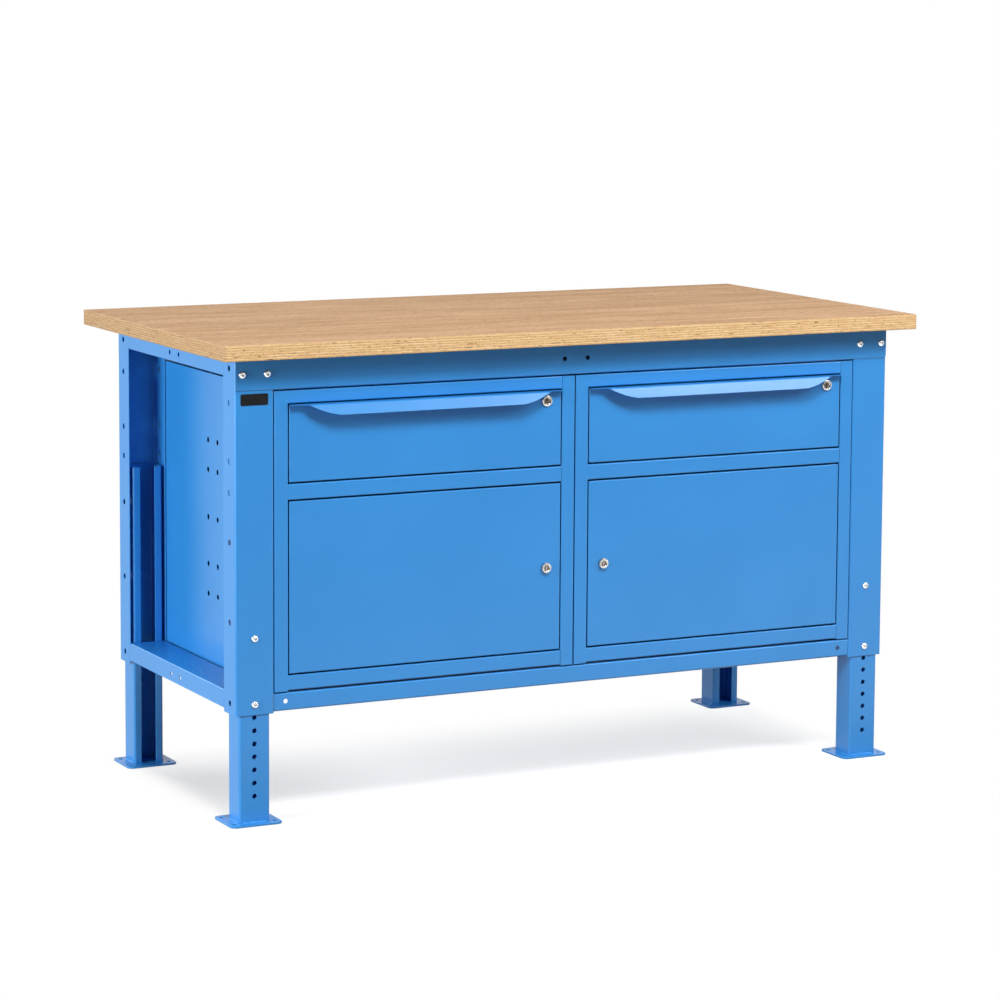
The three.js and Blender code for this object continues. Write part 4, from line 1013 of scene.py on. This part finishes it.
def curve_point(share):
    """A point of the curve at the grip's end: inset from the front's end, and drop below the ledge."""
    a, b, c = (1 - share) ** 2, 2 * share * (1 - share), share ** 2
    inset = a * GRIP_TIP_INSET + b * GRIP_CURVE_INSET + c * GRIP_LOWER_INSET
    return inset, b * GRIP_HEIGHT + c * (GRIP_HEIGHT + CABINET_SHEET)


front_face = box_mm("left_door")[0].y
for side, sign in CABINETS:
    low, high = box_mm(f"{side}_drawer_front")
    pan = folded_pan(f"{side}_drawer_pan", (low.x, front_face, low.z), (high.x, front_face + PAN_DEPTH, high.z))
    fold_z = high.z - CABINET_SHEET - 0.02
    path = [(-LEDGE_REACH - GRIP_SPLAY, fold_z - GRIP_HEIGHT), (-LEDGE_REACH, fold_z),
            (CABINET_SHEET + PAN_CORNER, fold_z)]
    section = [(front_face + out, z) for out, z in folded_outline(path, CABINET_SHEET, GRIP_BEND)]
    mesh = bmesh.new()
    add_sweep(mesh, section, "x", low.x + 0.02, high.x - 0.02)
    grip = new_piece("grip", mesh)
    reach = front_face - 2 * (LEDGE_REACH + GRIP_SPLAY)
    under = fold_z - 2 * GRIP_HEIGHT
    curve = [curve_point(step / GRIP_CURVE_STEPS) for step in range(GRIP_CURVE_STEPS + 1)]
    grip_end = [(-1, fold_z), *[(inset, fold_z - drop) for inset, drop in curve], (GRIP_LOWER_INSET, under), (-1, under)]
    ledge_end = [(-1, -LEDGE_END_REACH), (GRIP_TIP_INSET - GRIP_TIP_SLOPE, -LEDGE_END_REACH),
                 (GRIP_TIP_INSET, -LEDGE_REACH), (GRIP_TIP_INSET, reach - front_face), (-1, reach - front_face)]
    ends = [(low.x, 1), (high.x, -1)]
    saws = bmesh.new()
    for end, way in ends:
        add_sweep(saws, [(end + way * inset, z) for inset, z in grip_end], "y", reach, front_face - CABINET_SHEET)
    carve(grip, saws)
    saws = bmesh.new()
    for end, way in ends:
        outline = [(end + way * inset, front_face + out) for inset, out in ledge_end]
        add_sweep(saws, outline, "z", under, high.z + GRIP_HEIGHT)
    carve(grip, saws)
    lip = bmesh.new()
    lip.from_mesh(grip.data)
    bpy.data.objects.remove(grip)
    carve(pan, lip, how="UNION")
    lock_low, lock_high = box_mm(f"{side}_drawer_lock_housing")
    drills = bmesh.new()
    lock = (lock_low + lock_high) / 2
    add_rod(drills, "y", (lock.x, front_face, lock.z), LOCK_HOLE, 4 * CABINET_SHEET)
    carve(pan, drills)
    soften(pan, width=0.25)
    dress(pan, powder_coat, f"{side}_drawer", "blue_coat", f"{side}_drawer_front")
print("drawer fronts:", len(CABINETS))

# %% [markdown]
# ## Drawer trays
# Behind each front is a tray of the same sheet, and a runner member is riveted to each of its sides.
# The tray is made as the front's pan is, opened at the top. The runner members are folded strip.

# %% Trays and their runner members
TRAY_FROM_MEMBER = 8.9
TRAY_SHEET = 1.2
TRAY_ROUND = 1.6
RUNNER_SHEET = 1.2
RUNNER_BEND = 0.6
MEMBER_HALF_HEIGHT = 19.4
MEMBER_SETBACK = 18.5
MEMBER_LENGTH = 470
for side, sign in CABINETS:
    low, high = box_mm(f"{side}_drawer_tray")
    centre = (low.x + high.x) / 2
    half = (high.x - low.x) / 2 - TRAY_FROM_MEMBER
    mesh = bmesh.new()
    add_block(mesh, (centre - half, low.y, low.z), (centre + half, high.y, high.z))
    top = high.z * MM
    folds = [e for e in mesh.edges if not all(abs(v.co.z - top) < 1e-7 for v in e.verts)]
    bmesh.ops.bevel(mesh, geom=folds, offset=TRAY_ROUND * MM, segments=4, profile=0.5, affect="EDGES")
    bmesh.ops.delete(mesh, geom=[f for f in mesh.faces if all(abs(v.co.z - top) < 1e-7 for v in f.verts)],
                     context="FACES")
    tray = new_piece(f"{side}_drawer_box", mesh)
    floor_face = min(tray.data.polygons, key=lambda face: face.center.z)
    if floor_face.normal.z > 0:
        tray.data.flip_normals()
    wall = tray.modifiers.new("sheet", "SOLIDIFY")
    wall.thickness = TRAY_SHEET * MM
    wall.offset = -1
    settle(tray)
    soften(tray, width=0.25)
    dress(tray, powder_coat, f"{side}_drawer", "blue_coat", f"{side}_drawer_tray")
    mesh = bmesh.new()
    middle_z = (low.z + high.z) / 2
    path = [(half + TRAY_FROM_MEMBER, MEMBER_HALF_HEIGHT), (half, MEMBER_HALF_HEIGHT),
            (half, -MEMBER_HALF_HEIGHT), (half + TRAY_FROM_MEMBER, -MEMBER_HALF_HEIGHT)]
    for way in (-1, 1):
        section = [(centre + way * out, middle_z + up) for out, up in folded_outline(path, RUNNER_SHEET, RUNNER_BEND)]
        start = low.y + MEMBER_SETBACK
        add_sweep(mesh, section, "y", start, start + MEMBER_LENGTH)
    members = new_piece(f"{side}_drawer_runner_members", mesh)
    soften(members, width=0.2)
    dress(members, galvanised, f"{side}_drawer", "zinc", f"{side}_drawer_tray")
print("trays:", len(CABINETS))

# %% [markdown]
# ## Runners and hinge pins
# The fixed and middle runner members and the door pins are plain folded and turned pieces, and the
# frame's own solids have their shapes. They stay, with a broken edge and their metal.

# %% Runners and pins
kept = []
for side, sign in CABINETS:
    for wall_side in ("left", "right"):
        kept += [(f"{side}_drawer_{wall_side}_{part}_runner", galvanised) for part in ("fixed", "middle")]
    kept += [(f"{side}_door_{end}_hinge_pin", black_oxide) for end in ("upper", "lower")]
for name, finish in kept:
    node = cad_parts[name]
    node.data.materials.clear()
    node.data.materials.append(finish)
    edge = node.modifiers.new("broken_edges", "BEVEL")
    edge.width = 0.2 * MM
    edge.segments = 2
    edge.limit_method = "ANGLE"
    edge.angle_limit = math.radians(50)
print("kept solids:", len(kept))

# %% [markdown]
# ## Doors
# Each door is a pan like the drawer front, a little deeper, drilled for its lock and for the pins at
# the top and the bottom of its outer edge.

# %% Doors
for side, sign in CABINETS:
    low, high = box_mm(f"{side}_door")
    door = folded_pan(f"{side}_door_pan", low, high)
    drills = bmesh.new()
    lock_low, lock_high = box_mm(f"{side}_door_lock_housing")
    lock = (lock_low + lock_high) / 2
    add_rod(drills, "y", (lock.x, low.y, lock.z), LOCK_HOLE, 4 * CABINET_SHEET)
    pin_low, pin_high = box_mm(f"{side}_door_upper_hinge_pin")
    pin = (pin_low + pin_high) / 2
    for z in (low.z, high.z):
        add_rod(drills, "z", (pin.x, pin.y, z), PIN_HOLE, 4 * CABINET_SHEET)
    carve(door, drills)
    soften(door, width=0.25)
    dress(door, powder_coat, f"{side}_door", "blue_coat", f"{side}_door")
print("doors:", len(CABINETS))

# %% [markdown]
# ## Locks
# Each front has a cylinder lock. The drawers' has a bright rounded ring around a deep dark bore, and the
# doors' stands further out with a fluted collar that the fingers can hold. The plug turns inside with
# its keyway, and carries the cam that reaches behind the cabinet's frame. Rings are turned profiles,
# and the flutes are a wave in the radius of a swept outline.

# %% Lock housings and plugs
BARREL_DIAMETER = 16
PLUG_DIAMETER = 11
RING_ROUND = 1.7
RING_ROUND_STEPS = 5
FLUTE_COUNT = 12
FLUTE_DEPTH = 1.6
FLUTE_STEPS = 8
KEYWAY_WIDTH = 2
KEYWAY_HEIGHT = 7
KEYWAY_DEPTH = 4
CAM_THICKNESS = 2
CAM_WIDTH = 12
LOCK_RECESSES = {"drawer": 3.0, "door": 0.8}
RING_WIDTH = 2.9

for side, sign in CABINETS:
    for front in ("drawer", "door"):
        name = f"{side}_{front}_lock"
        low, high = box_mm(f"{name}_housing")
        x, z = (low.x + high.x) / 2, (low.z + high.z) / 2
        ring = (high.x - low.x) / 2
        seat = front_face - SEAT_GAP
        bore = PLUG_DIAMETER / 2 + SEAT_GAP
        barrel = BARREL_DIAMETER / 2
        round_edge = [(ring - RING_ROUND * (1 - math.sin(a)), low.y + RING_ROUND * (1 - math.cos(a)))
                      for a in [math.pi / 2 * k / RING_ROUND_STEPS for k in range(RING_ROUND_STEPS + 1)]]
        recess = LOCK_RECESSES[front]
        funnel = ring - RING_WIDTH if front == "drawer" else bore + recess
        profile = [(bore, low.y + recess), (funnel - 0.3, low.y + recess), (funnel, low.y + 0.6),
                   (funnel + 0.6, low.y), *round_edge,
                   (ring, seat), (barrel, seat), (barrel, high.y), (bore, high.y)]
        mesh = bmesh.new()
        if front == "door":
            inner_ring = ring - FLUTE_DEPTH
            profile = [(r if r < inner_ring else inner_ring, y) for r, y in profile]
            steps = FLUTE_COUNT * FLUTE_STEPS
            wave = []
            for k in range(steps):
                angle = math.tau * k / steps
                radius = ring - FLUTE_DEPTH * (0.5 - 0.5 * math.cos(FLUTE_COUNT * angle))
                wave.append((x + radius * math.sin(angle), z + radius * math.cos(angle)))
            add_sweep(mesh, wave, "y", low.y + RING_ROUND, seat - RING_ROUND)
        add_turned(mesh, profile, x, z, sides=48)
        housing = new_piece(f"{name}_barrel", mesh)
        soften(housing, width=0.2)
        dress(housing, nickel, f"{side}_{front}", "nickel", f"{name}_housing")

        plug_low, plug_high = box_mm(f"{name}_plug")
        face = plug_low.y + recess
        radius = PLUG_DIAMETER / 2
        mesh = bmesh.new()
        profile = [(0, face), (radius - 0.6, face), (radius, face + 0.6),
                   (radius, plug_high.y - CAM_THICKNESS), (0, plug_high.y - CAM_THICKNESS)]
        add_turned(mesh, profile, x, z, sides=32)
        plug = new_piece(f"{name}_core", mesh)
        slot = bmesh.new()
        add_block(slot, (x - KEYWAY_WIDTH / 2, face - KEYWAY_DEPTH, z - KEYWAY_HEIGHT / 2),
                  (x + KEYWAY_WIDTH / 2, face + KEYWAY_DEPTH, z + KEYWAY_HEIGHT / 2))
        carve(plug, slot)
        soften(plug, width=0.15)
        dress(plug, lock_brass, f"{side}_{front}_lock", "nickel", f"{name}_plug")

        mesh = bmesh.new()
        outline = rounded_rectangle(plug_low.x, plug_high.x, plug_low.z, plug_high.z, CAM_WIDTH / 2 - 0.05)
        add_sweep(mesh, outline, "y", plug_high.y - CAM_THICKNESS, plug_high.y)
        cam = new_piece(f"{name}_cam", mesh)
        soften(cam, width=0.3)
        dress(cam, zinc, f"{side}_{front}_lock", "zinc", f"{name}_plug")
print("locks: 4")

# %% [markdown]
# ## Blank plate
# A small black plate is riveted high on the front left upright. It stays blank: a thin rounded plate
# with a soft edge, lying on the web.

# %% Black plate
PLATE_SIZE = (55, 21.4)
PLATE_CENTRE = (-672.1, 802.7)
PLATE_PROUD = 1.2
PLATE_ROUND = 3
middle, outer, inward, low, high = upright_place("front", "left")
x0, x1 = PLATE_CENTRE[0] - PLATE_SIZE[0] / 2, PLATE_CENTRE[0] + PLATE_SIZE[0] / 2
z0, z1 = PLATE_CENTRE[1] - PLATE_SIZE[1] / 2, PLATE_CENTRE[1] + PLATE_SIZE[1] / 2
mesh = bmesh.new()
add_sweep(mesh, rounded_rectangle(x0, x1, z0, z1, PLATE_ROUND), "y", outer - PLATE_PROUD, outer - 0.05)
badge = new_piece("blank_plate", mesh)
soften(badge, width=0.4, segments=3)
dress(badge, black_lacquer, "frame", "zinc")
print("plate:", PLATE_SIZE, "mm")

# %% [markdown]
# ## Floor
# The photograph has a white ground with a soft grey shadow under the bench. For the camera the floor
# glows almost white by itself, and a share of its colour comes from the light, so that the shadow stays.
# The low lamp shines in under the left end, where the photograph is darkest, so the glow is less there: a painted
# shadow darkens the floor towards the left end.
# Beside and behind the bench it turns to plain white, as the retouched ground does, so that no horizon
# shows. In the gloss of the steel it is brighter near the front right, which gives the fronts their
# whiter lower right, and far out in front the paper ends and the room is dim. For every other ray it
# is a mid grey, which keeps the light thrown up under the bench plain.

# %% Floor
FLOOR_SIDE = 40
FLOOR_GLOW = 0.705
FLOOR_SHARE = "#C4C3C0"
LEFT_SHADOW_GLOW = 0.50
LEFT_REACH = (-0.15, -0.70)
SHADOW_SIDES = (0.64, 0.75)
SHADOW_REAR = (0.02, 0.36)
SHADOW_FRONT = (-0.45, -0.75)
PAPER_RUN = (0.5, 1.0, 0.0)
PAPER_END = (-4.5, -8.0)
ROOM_LEVEL = 0.1
SHEEN_REACH = (-2.8, -0.6)
SHEEN_LEVEL = 2.2
mesh = bmesh.new()
bmesh.ops.create_grid(mesh, x_segments=1, y_segments=1, size=FLOOR_SIDE / 2)
floor = new_piece("studio_floor", mesh)
floor.location.z = -0.0005
floor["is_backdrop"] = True
white_floor, tree, shader, metres = new_finish("white_studio_floor")
shader.inputs["Base Color"].default_value = linear("#787878")
shader.inputs["Roughness"].default_value = 0.9
path = add_node(tree, "ShaderNodeLightPath")
seen = add_node(tree, "ShaderNodeMath", {
    0: path.outputs["Is Camera Ray"], 1: path.outputs["Is Glossy Ray"]}, operation="MAXIMUM")
seen = add_node(tree, "ShaderNodeMath", {
    0: seen.outputs["Value"], 1: path.outputs["Is Transmission Ray"]}, operation="MAXIMUM")
matt = add_node(tree, "ShaderNodeBsdfDiffuse", {"Color": linear(FLOOR_SHARE)})
place = add_node(tree, "ShaderNodeSeparateXYZ", {"Vector": metres})
# painted shadow: the floor's glow falls towards the left end
left_shadow = add_node(tree, "ShaderNodeMapRange", {
    "Value": place.outputs["X"], "From Min": LEFT_REACH[0], "From Max": LEFT_REACH[1],
    "To Min": FLOOR_GLOW, "To Max": LEFT_SHADOW_GLOW}, interpolation_type="SMOOTHSTEP")
glow = add_node(tree, "ShaderNodeEmission", {"Strength": left_shadow.outputs["Result"]})
paper = add_node(tree, "ShaderNodeAddShader", {0: matt.outputs["BSDF"], 1: glow.outputs["Emission"]})
aside = add_node(tree, "ShaderNodeMath", {0: place.outputs["X"]}, operation="ABSOLUTE").outputs["Value"]
away = 0.0
for way, (near, far) in ((aside, SHADOW_SIDES), (place.outputs["Y"], SHADOW_REAR), (place.outputs["Y"], SHADOW_FRONT)):
    fade = add_node(tree, "ShaderNodeMapRange", {
        "Value": way, "From Min": near, "From Max": far}, interpolation_type="SMOOTHSTEP")
    away = add_node(tree, "ShaderNodeMath", {
        0: fade.outputs["Result"], 1: away}, operation="MAXIMUM").outputs["Value"]
ahead = add_node(tree, "ShaderNodeVectorMath", {0: metres, 1: PAPER_RUN}, operation="DOT_PRODUCT")
dim = add_node(tree, "ShaderNodeMapRange", {
    "Value": ahead.outputs["Value"], "From Min": PAPER_END[0], "From Max": PAPER_END[1],
    "To Min": 1.0, "To Max": ROOM_LEVEL}, interpolation_type="SMOOTHSTEP")
sheen = add_node(tree, "ShaderNodeMapRange", {
    "Value": ahead.outputs["Value"], "From Min": SHEEN_REACH[0], "From Max": SHEEN_REACH[1],
    "To Min": 1.0, "To Max": SHEEN_LEVEL}, interpolation_type="SMOOTHSTEP")
in_front = add_node(tree, "ShaderNodeMix", {
    "Factor": fade.outputs["Result"], "A": 1.0, "B": sheen.outputs["Result"]})
gloss = add_node(tree, "ShaderNodeMath", {
    0: dim.outputs["Result"], 1: in_front.outputs["Result"]}, operation="MULTIPLY")
level = add_node(tree, "ShaderNodeMix", {
    "Factor": path.outputs["Is Glossy Ray"], "A": 1.0, "B": gloss.outputs["Value"]})
white = add_node(tree, "ShaderNodeEmission", {"Strength": level.outputs["Result"]})
shown = add_node(tree, "ShaderNodeMixShader", {
    0: away, 1: paper.outputs["Shader"], 2: white.outputs["Emission"]})
ground = add_node(tree, "ShaderNodeMixShader", {
    0: seen.outputs["Value"], 1: shader.outputs["BSDF"], 2: shown.outputs["Shader"]})
tree.links.new(ground.outputs["Shader"], tree.nodes["Material Output"].inputs["Surface"])
floor.data.materials.append(white_floor)
print("floor:", FLOOR_SIDE, "m")

# %% [markdown]
# ## Lamps and world
# A high softbox in front is the main light, steep enough that the board shades the rail under it. One
# low on the left brightens the left faces. Two weak ones at the front right light the floor there and
# show in the gloss of the sloping grips, a faint one overhead deepens the shadow under the bench, and
# one behind fills the back and gives the board a little sheen. The world is white for the camera, a dim
# fill for the surfaces, and white with a dark patch in front for reflections, because bright metal
# needs something dark to reflect.

# %% Lamps
BENCH = (0.0, -0.2, 0.55)
LAMPS = [
    # name, place and aim in m, size in m, watts
    ("front_softbox", (-0.6, -3.3, 4.3), BENCH, (1.6, 1.2), 188),
    ("left_softbox", (-4.2, -0.8, 1.0), BENCH, (2.0, 1.6), 139),
    ("right_softbox", (1.8, -2.2, 2.2), (1.2, -1.4, 0.0), (1.2, 1.0), 34),
    ("grip_softbox", (2.4, -4.0, 3.2), BENCH, (2.0, 1.5), 17),
    ("overhead_softbox", (0.0, -0.2, 4.2), BENCH, (2.0, 1.4), 8),
    ("rear_softbox", (-2.0, 3.4, 2.2), BENCH, (1.8, 1.4), 31),
]
for name, place, aim, (width, height), watts in LAMPS:
    light = bpy.data.lights.new(name, "AREA")
    light.shape = "RECTANGLE"
    light.size = width
    light.size_y = height
    light.energy = watts
    lamp = bpy.data.objects.new(name, light)
    lamp.location = place
    lamp.rotation_euler = (Vector(aim) - Vector(place)).to_track_quat("-Z", "Y").to_euler()
    lamp.visible_camera = False
    bpy.context.scene.collection.objects.link(lamp)
print("lamps:", len(LAMPS))

# %% World
AMBIENT = 0.08
DARK_PATCH = 0.3
world = bpy.data.worlds.new("white_studio")
world.use_nodes = True
tree = world.node_tree
path = add_node(tree, "ShaderNodeLightPath")
heading = add_node(tree, "ShaderNodeSeparateXYZ", {"Vector": add_node(tree, "ShaderNodeTexCoord").outputs["Generated"]})
forward = add_node(tree, "ShaderNodeMapRange", {
    "Value": heading.outputs["Y"], "From Min": -0.35, "From Max": -0.9}, interpolation_type="SMOOTHSTEP")
low_down = add_node(tree, "ShaderNodeMapRange", {
    "Value": heading.outputs["Z"], "From Min": 0.6, "From Max": 0.25}, interpolation_type="SMOOTHSTEP")
patch = add_node(tree, "ShaderNodeMath", {
    0: forward.outputs["Result"], 1: low_down.outputs["Result"]}, operation="MULTIPLY")
mirrored = add_node(tree, "ShaderNodeMapRange", {
    "Value": patch.outputs["Value"], "To Min": 1.0, "To Max": DARK_PATCH})
bounced = add_node(tree, "ShaderNodeMix", {
    "Factor": path.outputs["Is Glossy Ray"], "A": AMBIENT, "B": mirrored.outputs["Result"]})
seen = add_node(tree, "ShaderNodeMath", {
    0: path.outputs["Is Camera Ray"], 1: path.outputs["Is Transmission Ray"]}, operation="MAXIMUM")
level = add_node(tree, "ShaderNodeMix", {
    "Factor": seen.outputs["Value"], "A": bounced.outputs["Result"], "B": 1.0})
tree.links.new(level.outputs["Result"], tree.nodes["Background"].inputs["Strength"])
tree.nodes["Background"].inputs["Color"].default_value = linear("#FFFFFF")
bpy.context.scene.world = world
print("world:", AMBIENT, "fill")

# %% [markdown]
# ## Sizes and finish
# The box of the dressed bench is printed in millimetres at the end.

# %% Sizes and finish
low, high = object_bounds()
print("size in mm:", [round(side / MM, 1) for side in high - low])
